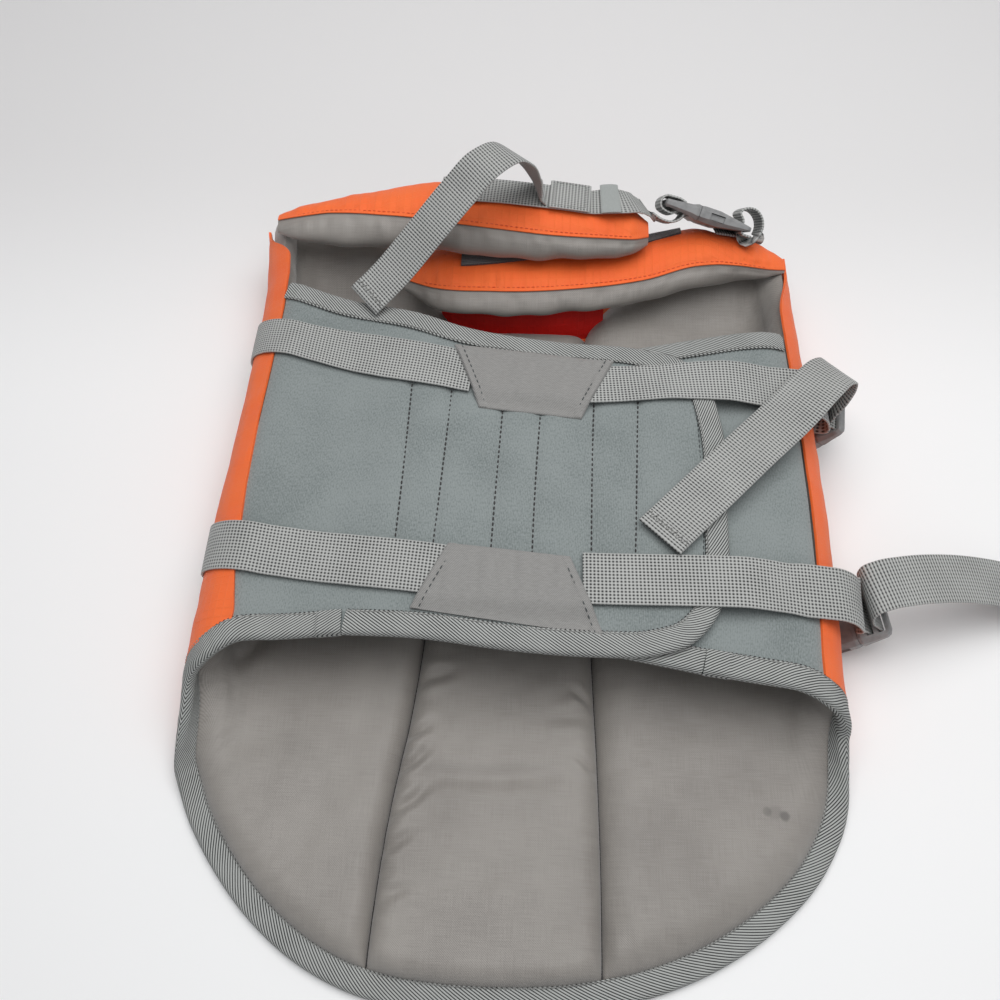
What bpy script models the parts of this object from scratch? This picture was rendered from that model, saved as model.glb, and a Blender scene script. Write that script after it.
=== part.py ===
"""Dog life jacket, laid on its back with its belly bands and neck flaps closed.

Sizes are in millimetres and become metres when a mesh is made. The jacket lies on z = 0 with its
tail at the low end of y and its neck at the high end, and x runs from its left side to its right.

Every cloth piece is cut in a flat pattern (s, y): s is the distance round the body from the middle
of the back, negative to the left, and y is the distance from the tip of the tail. The function
`worn` bends the pattern into the closed jacket, and `out` moves a point outwards from its skin.
"""

import math

import bmesh
import bpy
import numpy as np
from mathutils import Matrix, Vector

MM = 0.001

# --- The body that the pattern is bent round -------------------------------------------------
CURL_RADIUS = 31.0  # of the rounded sides
UNROLL_START = 84.0  # the tail lies flat up to here ...
UNROLL_END = 148.0  # ... and the sides are fully rounded from here on
CROWN = 3.0  # rise of the belly along its middle
FRONT_DROP = 5.0  # sag of the belly at its front hem
FRONT_DROP_FROM = 300.0
FRONT_DROP_TO = 385.0

# The neckline's corners turn up towards the neck flaps: height, and y where that starts and ends.
LEFT_TURN_UP = (26.0, 411.0, 458.0)
RIGHT_TURN_UP = (15.0, 402.0, 444.0)
TURN_UP_FROM = 54.0  # it starts this far from the middle line ...
TURN_UP_TO = 106.0  # ... and is full from here on

TURN_UP_SLACK = 0.5  # the pads stand off the shell by this share of the turn-up, up to 1.6

# Distance from the middle line to the outermost point of each side.
HALF_WIDTHS = (
    # y, left, right
    (0.0, 177.0, 166.5),
    (170.0, 176.5, 167.5),
    (215.0, 175.0, 168.5),
    (255.0, 174.0, 168.5),
    (293.0, 171.5, 167.5),
    (335.0, 169.0, 165.5),
    (377.0, 167.3, 163.5),
    (405.0, 167.3, 162.3),
    (430.0, 169.5, 161.0),
    (460.0, 173.0, 160.0),
)

# --- Cloth thicknesses ------------------------------------------------------------------------
SEAM_GAP = 0.3
SHELL = 1.5  # outer fabric
NEOPRENE = 3.2
TAPE = 1.2  # binding tape and patches
WEBBING = 1.4
PAD_FULL = 13.0  # foam in its lining
PAD_EDGE = 2.9  # the same, pressed flat in a seam
PAD_OFF = SHELL + 1.1  # the pads lie this far inside the skin
PAD_RISE = 26.0  # distance from a seam at which a pad is full
PAD_GAP = 0.9  # between two pads
PAD_FLAT = 1.2  # a pad starts to swell this far from its seam
NECK_EDGE = 8.0  # thickness of the pads' folded ends at the neckline ...
NECK_RISE = 14.0  # ... which are full this far in
BINDING_WIDTH = 12.0  # of the tape that shows on each face
INNER_FACE = -(SHELL + NEOPRENE)  # inner face of the bound edges
FLAP_LIFT = 6.5  # of the left belly flap where it lies on the right one
FLAP_LIFT_FROM = -122.0
FLAP_LIFT_TO = -46.0

BELLY_WEBBING = 30.0
NECK_WEBBING = 25.0

# --- Outlines, in pattern millimetres ----------------------------------------------------------
LEFT_SEAM_DEG = 156.0  # how far round the side the belly flap is sewn on
RIGHT_SEAM_DEG = 148.0

# The bound edge of the tail, from the foot of the left side round the tip to the right one.
TAIL_EDGE = (
    # s, y
    (-197.0, 141.0),
    (-193.0, 132.0),
    (-189.5, 122.5),
    (-185.5, 112.0),
    (-179.0, 102.0),
    (-167.0, 81.0),
    (-151.0, 59.0),
    (-131.0, 38.0),
    (-103.0, 18.0),
    (-75.0, 6.5),
    (-40.0, 1.2),
    (0.0, 0.5),
    (38.0, 4.0),
    (79.0, 15.0),
    (108.0, 29.0),
    (131.0, 45.0),
    (152.0, 66.0),
    (165.0, 87.0),
    (173.0, 105.0),
    (177.5, 117.5),
    (181.0, 126.0),
    (185.0, 133.0),
)

# The bound edge of each side from the belly's hem down to TAIL_EDGE: degrees round the curl.
LEFT_SIDE_EDGE = (
    # degrees, y
    (180.0, 164.5),
    (163.0, 160.5),
    (144.0, 155.5),
    (122.0, 151.0),
    (106.0, 147.0),
)
RIGHT_SIDE_EDGE = (
    # degrees, y
    (180.0, 148.5),
    (163.0, 146.0),
    (144.0, 142.5),
    (122.0, 139.5),
    (106.0, 136.5),
)

# Hems of the belly flaps where they lie on top, at a place x across the belly.
LEFT_FLAP_REAR = (
    # x, y
    (-127.0, 166.0),
    (-92.0, 168.5),
    (-53.0, 166.0),
    (-2.0, 160.5),
    (38.0, 159.0),
    (64.0, 160.5),
    (84.0, 168.0),
    (97.0, 183.0),
    (103.5, 205.0),
    (105.5, 243.0),
)
LEFT_FLAP_FRONT = (
    # x, y
    (-111.0, 383.0),
    (-67.0, 371.0),
    (-43.0, 361.5),
    (17.0, 350.5),
    (62.0, 347.0),
    (86.0, 340.0),
    (99.0, 325.0),
    (105.0, 301.0),
    (106.5, 259.0),
)
RIGHT_FLAP_REAR = (
    # x, y
    (121.0, 150.5),
    (89.0, 154.5),
    (40.0, 163.0),
    (-20.0, 168.0),
)
RIGHT_FLAP_FRONT = (
    # x, y
    (124.0, 366.0),
    (94.0, 360.0),
    (64.0, 353.0),
    (25.0, 344.0),
    (-20.0, 336.0),
)
LEFT_FLAP_FRONT_Y = 395.5  # of the flaps' front corners on the side seams
RIGHT_FLAP_FRONT_Y = 368.0
TAPE_CLEAR_DEG = 5.7  # the tape on the hems stops this far round from the side seams

# The two seams between the back pads run from the tail to the neckline, and on along its sides.
LEFT_PAD_SEAM = (
    # s, y
    (-70.0, 8.0),
    (-62.0, 70.0),
    (-52.0, 177.0),
    (-49.0, 290.0),
    (-48.3, 372.0),
    (-49.5, 398.0),
    (-60.0, 424.0),
    (-84.0, 448.0),
)
RIGHT_PAD_SEAM = (
    # s, y
    (41.0, 6.5),
    (40.0, 70.0),
    (38.0, 174.0),
    (34.0, 290.0),
    (33.4, 374.0),
    (35.5, 400.0),
    (48.0, 421.0),
    (72.0, 440.0),
)
PAD_SEAM_END = 396.0  # the middle pad stops here
PAD_COLUMNS = (0.0, 0.06, 0.17, 0.4, 0.6, 0.73, 0.84, 0.94, 1.0)
PAD_ROWS = np.concatenate(
    [
        np.linspace(0.0, 0.36, 9),
        np.linspace(0.36, 0.56, 7)[1:],
        [0.67, 0.78],
        np.linspace(0.88, 1.0, 7),
    ]
)
BACK_SEAM = 120.0  # where the back's outer fabric meets the sides'
SIDE_ROWS = np.concatenate([np.linspace(0.0, 0.88, 7), np.linspace(0.88, 1.0, 7)[1:]])[None, :]
PAD_REACH_DEG = 140.0  # how far up the sides the outer pads go
# At the neck: degrees round the curl, where the side starts to narrow to that, and its end.
LEFT_SHELL_SHOULDER = (146.0, 415.0, 458.0)
RIGHT_SHELL_SHOULDER = (109.0, 385.0, 444.0)
LEFT_PAD_SHOULDER = (136.0, 415.0, 457.0)
RIGHT_PAD_SHOULDER = (104.0, 385.0, 443.0)

# --- Webbing ------------------------------------------------------------------------------------
# Belly straps: centre line over the belly, at a place x on it or at degrees round the curl.
STRAP_FOOT_DEG = 24.0  # the left straps are sewn low on the side
FRONT_STRAP_LEFT_Y = (374.0, 364.0, 350.5, 341.0, 331.5)  # at the five places below
REAR_STRAP_LEFT_Y = (234.0, 225.0, 214.5, 207.5, 200.0)
STRAP_LEFT_DEG = (STRAP_FOOT_DEG, 90.0)  # the left straps' places: first on the curl ...
STRAP_LEFT_X = (-138.0, -89.0, -33.0)  # ... and then across the belly
FRONT_STRAP_RIGHT_Y = 325.0
REAR_STRAP_RIGHT_Y = 200.5
STRAP_RIGHT_X = 29.0

# Trapezoid patches over the straps' ends: half of the long edge and of the short one.
PATCH_LONG = 45.5
PATCH_SHORT = 28.5


def material(name, colour, roughness, metallic=0.0):
    """A Principled material of one colour."""
    made = bpy.data.materials.new(name)
    made.use_nodes = True
    shader = made.node_tree.nodes["Principled BSDF"]
    shader.inputs["Base Color"].default_value = (*colour, 1.0)
    shader.inputs["Roughness"].default_value = roughness
    shader.inputs["Metallic"].default_value = metallic
    made.diffuse_color = (*colour, 1.0)
    return made


FINISHES = {
    # finish: colour, roughness
    "orange_nylon": ((0.88, 0.13, 0.04), 0.6),
    "grey_lining": ((0.25, 0.23, 0.22), 0.5),
    "neoprene": ((0.26, 0.29, 0.29), 0.85),
    "binding": ((0.33, 0.33, 0.32), 0.8),
    "webbing": ((0.27, 0.28, 0.27), 0.75),
    "patch_nylon": ((0.24, 0.23, 0.22), 0.6),
    "hook_and_loop": ((0.08, 0.08, 0.09), 0.95),
    "buckle_plastic": ((0.22, 0.22, 0.22), 0.45),
}


def clear_scene():
    """Remove whatever the file opened with."""
    for thing in list(bpy.data.objects):
        bpy.data.objects.remove(thing, do_unlink=True)


def finish_object(name, mesh, finish):
    """An object of the mesh, with its own material of a finish."""
    made = bpy.data.objects.new(name, mesh)
    colour, roughness = FINISHES[finish]
    made.data.materials.append(material(name, colour, roughness))
    bpy.context.collection.objects.link(made)
    return made


# --- Curves and surfaces --------------------------------------------------------------------------


def ease(value):
    """Smooth step from 0 to 1 as the value goes from 0 to 1."""
    held = np.clip(value, 0.0, 1.0)
    return held * held * (3.0 - 2.0 * held)


def smooth_curve(points, count, fine=400):
    """A smooth curve through the points, given back as `count` points evenly along it.

    In place of a number, `count` may be the shares of the curve's length that are wanted.
    """
    knots_at = np.asarray(points, float)
    steps = np.linalg.norm(np.diff(knots_at, axis=0), axis=1)
    knots = np.concatenate([[0.0], np.cumsum(steps)])
    slopes = np.gradient(knots_at, knots, axis=0)
    run = np.linspace(0.0, knots[-1], fine)
    low = np.clip(np.searchsorted(knots, run, side="right") - 1, 0, len(knots) - 2)
    span = (knots[low + 1] - knots[low])[:, None]
    t = (run - knots[low])[:, None] / span
    curve = (
        (2 * t**3 - 3 * t**2 + 1) * knots_at[low]
        + (t**3 - 2 * t**2 + t) * span * slopes[low]
        + (3 * t**2 - 2 * t**3) * knots_at[low + 1]
        + (t**3 - t**2) * span * slopes[low + 1]
    )
    length = np.concatenate([[0.0], np.cumsum(np.linalg.norm(np.diff(curve, axis=0), axis=1))])
    shares = np.linspace(0.0, 1.0, count) if isinstance(count, int) else np.asarray(count)
    wanted = length[-1] * shares
    return np.stack([np.interp(wanted, length, column) for column in curve.T], axis=1)


def two_paces(share, first, rest):
    """Shares from 0 to 1: `first` steps up to a share, and `rest` steps beyond it."""
    return np.concatenate([np.linspace(0.0, share, first + 1), np.linspace(share, 1.0, rest + 1)[1:]])


def curl_start(side, y):
    """Distance from the middle of the back to where the side (-1 left, 1 right) starts to curl."""
    table = np.asarray(HALF_WIDTHS)
    column = np.where(np.asarray(side) < 0, 1, 2)
    left = np.interp(y, table[:, 0], table[:, 1])
    right = np.interp(y, table[:, 0], table[:, 2])
    return np.where(column == 1, left, right) - CURL_RADIUS


def on_curl(side, degrees, y):
    """Pattern distance s of a place so many degrees round the side's curl, up from the table."""
    return side * (curl_start(side, y) + CURL_RADIUS * np.radians(degrees))


def on_belly(side, x, y):
    """Pattern distance s of a place x on the belly, reached round the given side."""
    start = curl_start(side, y)
    return side * (2.0 * start + CURL_RADIUS * math.pi - side * np.asarray(x, float))


def belly_height(x, y):
    """Rise of the belly above the top of the curls: crowned, and sagging at the front hem."""
    across = np.clip(1.0 - (x / 140.0) ** 2, 0.0, 1.0)
    drop = FRONT_DROP * ease((y - FRONT_DROP_FROM) / (FRONT_DROP_TO - FRONT_DROP_FROM))
    return across * (CROWN - drop)


def turned_up(s, y, z):
    """How far the neckline's corners are raised, where the flat pattern lies at a height z."""
    rises = []
    for height, since, to in (LEFT_TURN_UP, RIGHT_TURN_UP):
        rises.append(height * ease((y - since) / (to - since)))
    aside = ease((np.abs(s) - TURN_UP_FROM) / (TURN_UP_TO - TURN_UP_FROM))
    low = np.clip(1.0 - z / (2.0 * CURL_RADIUS), 0.0, 1.0) ** 2
    return np.where(s < 0, rises[0], rises[1]) * aside * low


def worn(s, y, out):
    """The place in space of pattern points (s, y) moved `out` from the jacket's skin.

    The section is flat along the table, a half circle at each side and nearly flat on top. In the
    tail the curl opens, and the pattern lies flat. At the neckline its corners turn up.
    """
    s, y, out = np.broadcast_arrays(*(np.asarray(part, float) for part in (s, y, out)))
    side = np.where(s < 0, -1.0, 1.0)
    reach = np.abs(s)
    start = curl_start(side, y)
    turn = np.clip((reach - start) / CURL_RADIUS, 0.0, math.pi)
    over = np.clip(reach - start - CURL_RADIUS * math.pi, 0.0, None)
    curled_x = np.minimum(reach, start) + CURL_RADIUS * np.sin(turn) - over
    curled_z = CURL_RADIUS * (1.0 - np.cos(turn))
    curled_z = curled_z + np.where(over > 0, belly_height(side * (start - over), y), 0.0)
    rolled = ease((y - UNROLL_START) / (UNROLL_END - UNROLL_START))
    face_x = rolled * np.sin(turn)
    face_z = -rolled * np.cos(turn) - (1.0 - rolled)
    size = np.hypot(face_x, face_z)
    x = side * (rolled * curled_x + (1.0 - rolled) * reach + out * face_x / size)
    z = rolled * curled_z + turned_up(s, y, rolled * curled_z) + out * face_z / size
    return np.stack([x, y, z], axis=-1)


def two_sheet_solid(name, under, over, finish):
    """A closed solid between two grids of points, its rim closed by quads.

    `under` and `over` are arrays of shape (rows, columns, 3) in millimetres.
    """
    rows, columns = under.shape[:2]
    count = rows * columns
    points = np.concatenate([under.reshape(-1, 3), over.reshape(-1, 3)]) * MM
    index = np.arange(count).reshape(rows, columns)
    quads = np.stack(
        [index[:-1, :-1], index[1:, :-1], index[1:, 1:], index[:-1, 1:]], axis=-1
    ).reshape(-1, 4)
    rim = np.concatenate([index[0, :-1], index[:-1, -1], index[-1, :0:-1], index[:0:-1, 0]])
    beside = np.roll(rim, -1)
    walls = np.stack([rim, beside, beside + count, rim + count], axis=-1)
    faces = np.concatenate([quads, quads[:, ::-1] + count, walls])
    mesh = bpy.data.meshes.new(name)
    mesh.from_pydata(points.tolist(), [], faces.tolist())
    shape = bmesh.new()
    shape.from_mesh(mesh)
    bmesh.ops.triangulate(shape, faces=shape.faces[:])
    if shape.calc_volume(signed=True) < 0:
        bmesh.ops.reverse_faces(shape, faces=shape.faces[:])
    shape.to_mesh(mesh)
    shape.free()
    mesh.shade_smooth()
    mesh.set_sharp_from_angle(angle=math.radians(50))
    return finish_object(name, mesh, finish)


def ruled(near, far, across):
    """Pattern grid between two edges: a row for each point of them, a column for each share."""
    share = np.asarray(across, float)[None, :, None]
    grid = near[:, None, :] * (1.0 - share) + far[:, None, :] * share
    return grid[..., 0], grid[..., 1]


def ruled_round(side, near, far, across):
    """As `ruled`, but even in the distance from where the side's curl starts."""
    shift = np.stack([side * curl_start(side, near[:, 1]), 0.0 * near[:, 1]], axis=1)
    far_shift = np.stack([side * curl_start(side, far[:, 1]), 0.0 * far[:, 1]], axis=1)
    s, y = ruled(near - shift, far - far_shift, across)
    return s + side * curl_start(side, y), y


def sheet(name, grid, inner, outer, finish, lift=None):
    """A cloth piece over a pattern grid (s, y), between two distances from the skin."""
    s, y = grid
    raised = lift(s, y) if lift else 0.0
    return two_sheet_solid(name, worn(s, y, inner + raised), worn(s, y, outer + raised), finish)


def inward(path, turn):
    """Unit vectors square to a pattern path: to its left for turn 1, to its right for -1."""
    along = np.gradient(path, axis=0)
    along /= np.linalg.norm(along, axis=1)[:, None]
    return turn * np.stack([-along[:, 1], along[:, 0]], axis=1)


# Section of a folded tape: distance in from the bound edge, and distance out from the skin.
WRAP_INNER = INNER_FACE - 0.5
WRAP_OUTER = -SHELL + 0.5
WRAP_INSIDE = (
    # inwards, out
    (BINDING_WIDTH, WRAP_INNER),
    (0.4, WRAP_INNER),
    (0.4, WRAP_OUTER),
    (BINDING_WIDTH, WRAP_OUTER),
)
WRAP_OUTSIDE = (
    # inwards, out
    (BINDING_WIDTH, WRAP_INNER - TAPE),
    (-0.6, WRAP_INNER - 0.7 * TAPE),
    (-0.6, -0.3 * TAPE),
    (BINDING_WIDTH, 0.0),
)
EDGE_IN = 1.0  # how far a bound piece stops inside the tape's fold


def wrap(name, path, turn, lift=None):
    """Binding tape folded round a bound edge that runs along a pattern path."""
    side = inward(path, turn)
    grids = []
    for section in (WRAP_INSIDE, WRAP_OUTSIDE):
        table = np.asarray(section)
        place = path[:, None, :] + side[:, None, :] * table[None, :, :1]
        s, y = place[..., 0], place[..., 1]
        raised = lift(s, y) if lift else 0.0
        grids.append(worn(s, y, table[None, :, 1] + raised))
    return two_sheet_solid(name, grids[0], grids[1], "binding")


def ribbon(name, rows, width, steps, finish="webbing"):
    """Webbing along a route: rows of x, y, z, and the way of its width, as a bearing and a rise.

    The bearing is in degrees from +x towards +y, and the rise in degrees above level. The webbing
    gets so many steps from each row to the next.
    """
    places = np.asarray(rows, float)
    length = np.concatenate([[0.0], np.cumsum(np.linalg.norm(np.diff(places, axis=0), axis=1))])
    at = np.interp(np.arange((len(rows) - 1) * steps + 1) / steps, np.arange(len(rows)), length)
    table = smooth_curve(rows, at / length[-1], fine=4000)
    centre = table[:, :3]
    bearing, rise = np.radians(table[:, 3]), np.radians(table[:, 4])
    across = np.stack(
        [np.cos(bearing) * np.cos(rise), np.sin(bearing) * np.cos(rise), np.sin(rise)], axis=1
    )
    along = np.gradient(centre, axis=0)
    along /= np.linalg.norm(along, axis=1)[:, None]
    across -= along * (across * along).sum(axis=1)[:, None]
    across /= np.linalg.norm(across, axis=1)[:, None]
    normal = np.cross(along, across)
    shares = np.array([-0.5, 0.5])
    middle = centre[:, None, :] + across[:, None, :] * (shares * width)[None, :, None]
    shift = normal[:, None, :] * WEBBING / 2
    return two_sheet_solid(name, middle - shift, middle + shift, finish)


# --- Lifts -----------------------------------------------------------------------------------------


def left_flap_lift(s, y):
    """How far the left belly flap, and what is sewn on it, lies above the skin."""
    side = np.where(s < 0, -1.0, 1.0)
    start = curl_start(side, y)
    x = side * (2.0 * start + CURL_RADIUS * math.pi - np.abs(s))
    on_top = np.abs(s) > start + CURL_RADIUS * math.pi
    raised = FLAP_LIFT * ease((x - FLAP_LIFT_FROM) / (FLAP_LIFT_TO - FLAP_LIFT_FROM))
    return np.where(on_top & (s < 0), raised, 0.0)


def lift_off_end(drop_from, drop_to):
    """The lift of a right strap at a place x, which steps down off the left flap's end."""

    def lift(x):
        return FLAP_LIFT * (1.0 - ease((x - drop_from) / (drop_to - drop_from)))

    return lift


# --- Bound edges -----------------------------------------------------------------------------------


def belly_points(side, rows):
    """Pattern points of a hem given by places x on the belly."""
    table = np.asarray(rows)
    return np.stack([on_belly(side, table[:, 0], table[:, 1]), table[:, 1]], axis=1)


def curl_points(side, rows):
    """Pattern points of an edge given by degrees round the curl."""
    table = np.asarray(rows)
    return np.stack([on_curl(side, table[:, 0], table[:, 1]), table[:, 1]], axis=1)


def full_tail_edge(count):
    """The tail's bound edge with both sides, from one step of the tape to the other."""
    left_top = belly_points(-1, LEFT_FLAP_REAR[:2])[::-1]
    right_top = belly_points(1, RIGHT_FLAP_REAR[:2])
    left_side = curl_points(-1, LEFT_SIDE_EDGE)
    right_side = curl_points(1, RIGHT_SIDE_EDGE)[::-1]
    return smooth_curve(
        np.concatenate([left_top, left_side, TAIL_EDGE, right_side, right_top]), count, fine=900
    )


def left_flap_edge(seam_deg):
    """The left flap's front hem from so far round the side to its round end."""
    corner = curl_points(-1, ((seam_deg, LEFT_FLAP_FRONT_Y),))
    return np.concatenate([corner, belly_points(-1, LEFT_FLAP_FRONT)])


def right_flap_edge(seam_deg, rows):
    """The right flap's front hem from so far round the side on, towards its hidden end."""
    corner = curl_points(1, ((seam_deg, RIGHT_FLAP_FRONT_Y),))
    return np.concatenate([corner, belly_points(1, rows)])


def flap_rear_edge(side, seam_deg, rows):
    """A flap's rear hem: on the tail's bound edge as far as the tape's step, then by itself."""
    edge = smooth_curve(full_tail_edge(TAIL_SAMPLES), 400)
    beyond = edge[side * edge[:, 0] > float(np.abs(on_curl(side, seam_deg, 175.0)))]
    beyond = beyond[np.argsort(np.abs(beyond[:, 0]))]
    return np.concatenate([beyond[:-1:4], beyond[-1:], belly_points(side, rows[2:])])


def moved_in(path, distance, turn):
    """A pattern path moved square to itself."""
    return path + inward(path, turn) * distance


# --- Back: shell, sides and pads ----------------------------------------------------------------------

TAIL_SAMPLES = 96
SHELL_INSET = BINDING_WIDTH + 3 * SEAM_GAP
PAD_INSET = SHELL_INSET + 0.9


def tail_edge_inside(distance):
    """The tail's bound edge moved in, as one run from the left step to the right one."""
    return moved_in(full_tail_edge(TAIL_SAMPLES), distance, 1)


def edge_between(path, s_from, s_to, count):
    """The stretch of an edge between two pattern distances, resampled."""
    fine = smooth_curve(path, 600)
    keep = (fine[:, 0] >= min(s_from, s_to)) & (fine[:, 0] <= max(s_from, s_to))
    return smooth_curve(fine[keep], count)


def make_back_shell():
    """Outer fabric of the back, flat on the table, round at the tail and cut out at the neck."""
    edge = tail_edge_inside(SHELL_INSET)
    low = edge_between(edge, -BACK_SEAM, BACK_SEAM, 15)
    columns = low[:, 0]
    share = (columns + BACK_SEAM) / (2 * BACK_SEAM)
    neck = 446.0 - 8.0 * share - 12.0 * np.sin(math.pi * share)
    high = np.stack([columns, neck], axis=1)
    grid = ruled(low, high, np.concatenate([[0.0, 0.45], np.linspace(0.88, 1.0, 7)]))
    sheet("back_shell", grid, -SHELL, 0.0, "orange_nylon")


def make_side_shell(name, side, seam_deg, shoulder):
    """Outer fabric of one side, from the back's seam up the curl to the belly flap.

    `shoulder` holds how far round the curl it still reaches at the neck, where it starts to
    narrow to that, and where it ends.
    """
    shoulder_deg, shoulder_from, end_y = shoulder
    inner = BACK_SEAM + SEAM_GAP
    edge = tail_edge_inside(SHELL_INSET)
    reach = float(np.abs(on_curl(side, seam_deg, 175.0))) - SEAM_GAP
    low = edge_between(edge, side * inner, side * reach, 13)
    low = low[np.argsort(np.abs(low[:, 0]))]
    share = (np.abs(low[:, 0]) - inner) / (reach - inner)
    y = low[:, 1:] * (1.0 - SIDE_ROWS) + end_y * SIDE_ROWS
    narrowed = ease((y - shoulder_from) / (end_y - shoulder_from))
    degrees = seam_deg - (seam_deg - shoulder_deg) * narrowed
    top = np.abs(on_curl(side, degrees, np.maximum(y, 175.0))) - SEAM_GAP
    s = side * (inner + share[:, None] * (top - inner))
    sheet(name, (s, y), -SHELL, 0.0, "orange_nylon")


def distance_to(path, s, y):
    """Shortest distance in the pattern from each point to a path."""
    start, run = path[:-1], np.diff(path, axis=0)
    offset = np.stack([s, y], axis=-1)[..., None, :] - start
    share = np.clip((offset * run).sum(-1) / (run**2).sum(-1), 0.0, 1.0)
    return np.linalg.norm(offset - share[..., None] * run, axis=-1).min(axis=-1)


def make_pad(name, s, y, seams):
    """A back pad over a pattern grid: thin at its seams and full inside, as a quarter wave.

    `seams` holds a path, the thickness there and the distance at which the pad is full.
    """
    share = np.ones(s.shape)
    for path, thin, rise in seams:
        inside = np.clip((distance_to(path, s, y) - PAD_FLAT) / rise, 0.0, 1.0)
        swell = np.sin(0.5 * math.pi * inside) ** 0.8
        share = share * (thin + (PAD_FULL - thin) * swell) / PAD_FULL
    thickness = np.maximum(PAD_FULL * share, PAD_EDGE)
    raised = turned_up(s, y, worn(s, y, 0.0)[..., 2])
    off = PAD_OFF + np.clip(TURN_UP_SLACK * raised, 0.0, 1.6)
    sheet(name, (s, y), -off - thickness, -off, "grey_lining")


def pad_seam(rows, side):
    """A seam between two pads, as a fine path moved aside by half the gap."""
    return smooth_curve(rows, 300) + np.array([side * PAD_GAP / 2, 0.0])


def make_outer_pad(name, side, seam_rows, shoulder):
    """A side pad: flat in the tail, and curled up inside the side of the body."""
    shoulder_deg, shoulder_from, end_y = shoulder
    seam = pad_seam(seam_rows, side)
    edge = tail_edge_inside(PAD_INSET)
    reach = float(np.abs(on_curl(side, PAD_REACH_DEG, 180.0)))
    tail = edge_between(edge, seam[0, 0], side * reach, 60)
    tail = tail[np.argsort(np.abs(tail[:, 0]))]
    up = np.linspace(tail[-1, 1] + 14.0, end_y, 9)
    degrees = PAD_REACH_DEG - (PAD_REACH_DEG - shoulder_deg) * ease(
        (up - shoulder_from) / (end_y - shoulder_from)
    )
    outline = np.concatenate([tail, np.stack([on_curl(side, degrees, up), up], axis=1)])
    foot = seam[seam[:, 1] > tail[0, 1] + 10.0]
    s, y = ruled(smooth_curve(foot, PAD_ROWS), smooth_curve(outline, PAD_ROWS), PAD_COLUMNS)
    neck = np.stack([foot[-1], outline[-1]])
    make_pad(
        name,
        s,
        y,
        ((seam, PAD_EDGE, PAD_RISE), (outline, PAD_EDGE, PAD_RISE), (neck, NECK_EDGE, NECK_RISE)),
    )


def make_middle_pad():
    """The pad between the two seams, from the tail's binding to the neckline."""
    left, right = pad_seam(LEFT_PAD_SEAM, 1), pad_seam(RIGHT_PAD_SEAM, -1)
    edge = tail_edge_inside(PAD_INSET)
    low = edge_between(edge, left[0, 0], right[0, 0], 7)
    sides = [
        smooth_curve(seam[(seam[:, 1] >= end[1]) & (seam[:, 1] < PAD_SEAM_END)], 12)
        for seam, end in ((left, low[0]), (right, low[-1]))
    ]
    shares = (low[:, 0] - low[0, 0]) / (low[-1, 0] - low[0, 0])
    s, y = ruled(sides[0], sides[1], shares)
    bow = low[:, 1] - y[0]
    y = y + bow[None, :] * (1.0 - np.linspace(0.0, 1.0, len(y)))[:, None] ** 6
    neck = np.stack([sides[0][-1], sides[1][-1]])
    make_pad(
        "back_pad_middle",
        s,
        y,
        (
            (left, PAD_EDGE, PAD_RISE),
            (right, PAD_EDGE, PAD_RISE),
            (low, PAD_EDGE, PAD_RISE),
            (neck, NECK_EDGE, NECK_RISE),
        ),
    )


# --- Belly flaps -------------------------------------------------------------------------------------


def make_belly_flaps():
    """The two neoprene flaps: the left one laps over the right one."""
    shares = np.linspace(0.0, 1.0, 6)
    steps = two_paces(0.09, 5, 14)
    near = smooth_curve(flap_rear_edge(-1, LEFT_SEAM_DEG, LEFT_FLAP_REAR), steps)
    far = smooth_curve(left_flap_edge(LEFT_SEAM_DEG), steps)
    grid = ruled_round(-1, moved_in(near, EDGE_IN, -1), moved_in(far, EDGE_IN, 1), shares)
    sheet("belly_flap_left", grid, INNER_FACE, -SHELL, "neoprene", left_flap_lift)
    steps = two_paces(0.16, 5, 7)
    near = smooth_curve(flap_rear_edge(1, RIGHT_SEAM_DEG, RIGHT_FLAP_REAR), steps)
    far = smooth_curve(right_flap_edge(RIGHT_SEAM_DEG, RIGHT_FLAP_FRONT), steps)
    grid = ruled_round(1, moved_in(near, EDGE_IN, 1), moved_in(far, EDGE_IN, -1), shares)
    sheet("belly_flap_right", grid, INNER_FACE, -SHELL, "neoprene")


def make_bindings():
    """Tape round the tail and sides, round the left flap, and along the right flap's hems."""
    steps = np.concatenate(
        [np.linspace(0.0, 0.17, 20), np.linspace(0.17, 0.83, 32)[1:-1], np.linspace(0.83, 1.0, 20)]
    )
    tail = smooth_curve(full_tail_edge(TAIL_SAMPLES), steps, fine=900)
    tail[0, 0] += SEAM_GAP
    tail[-1, 0] -= SEAM_GAP
    wrap("tail_binding", tail, 1, left_flap_lift)

    rear = belly_points(-1, LEFT_FLAP_REAR)[1:]
    front = left_flap_edge(LEFT_SEAM_DEG + TAPE_CLEAR_DEG)
    steps = 1.0 - two_paces(0.05, 6, 40)[::-1]
    loop = smooth_curve(np.concatenate([rear, front[::-1]]), steps, fine=900)
    wrap("left_flap_binding", loop, -1, left_flap_lift)

    front = right_flap_edge(RIGHT_SEAM_DEG + TAPE_CLEAR_DEG, RIGHT_FLAP_FRONT[:4])
    wrap("right_flap_front_binding", smooth_curve(front, two_paces(0.2, 5, 6)), -1)
    rear = smooth_curve(belly_points(1, RIGHT_FLAP_REAR[1:3]), 5)
    rear[0, 0] += SEAM_GAP
    wrap("right_flap_rear_binding", rear, 1)


# --- Straps and patches on the belly -------------------------------------------------------------------

STRAP_ON = 0.5  # a strap lies this far above the skin
STRAP_TOP = STRAP_ON + WEBBING
STRAP_CLEAR = 0.2  # the right straps lie a little higher
STEP_FROM = 110.0  # they step down off the left flap's end between these places
STEP_TO = 146.0


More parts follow.
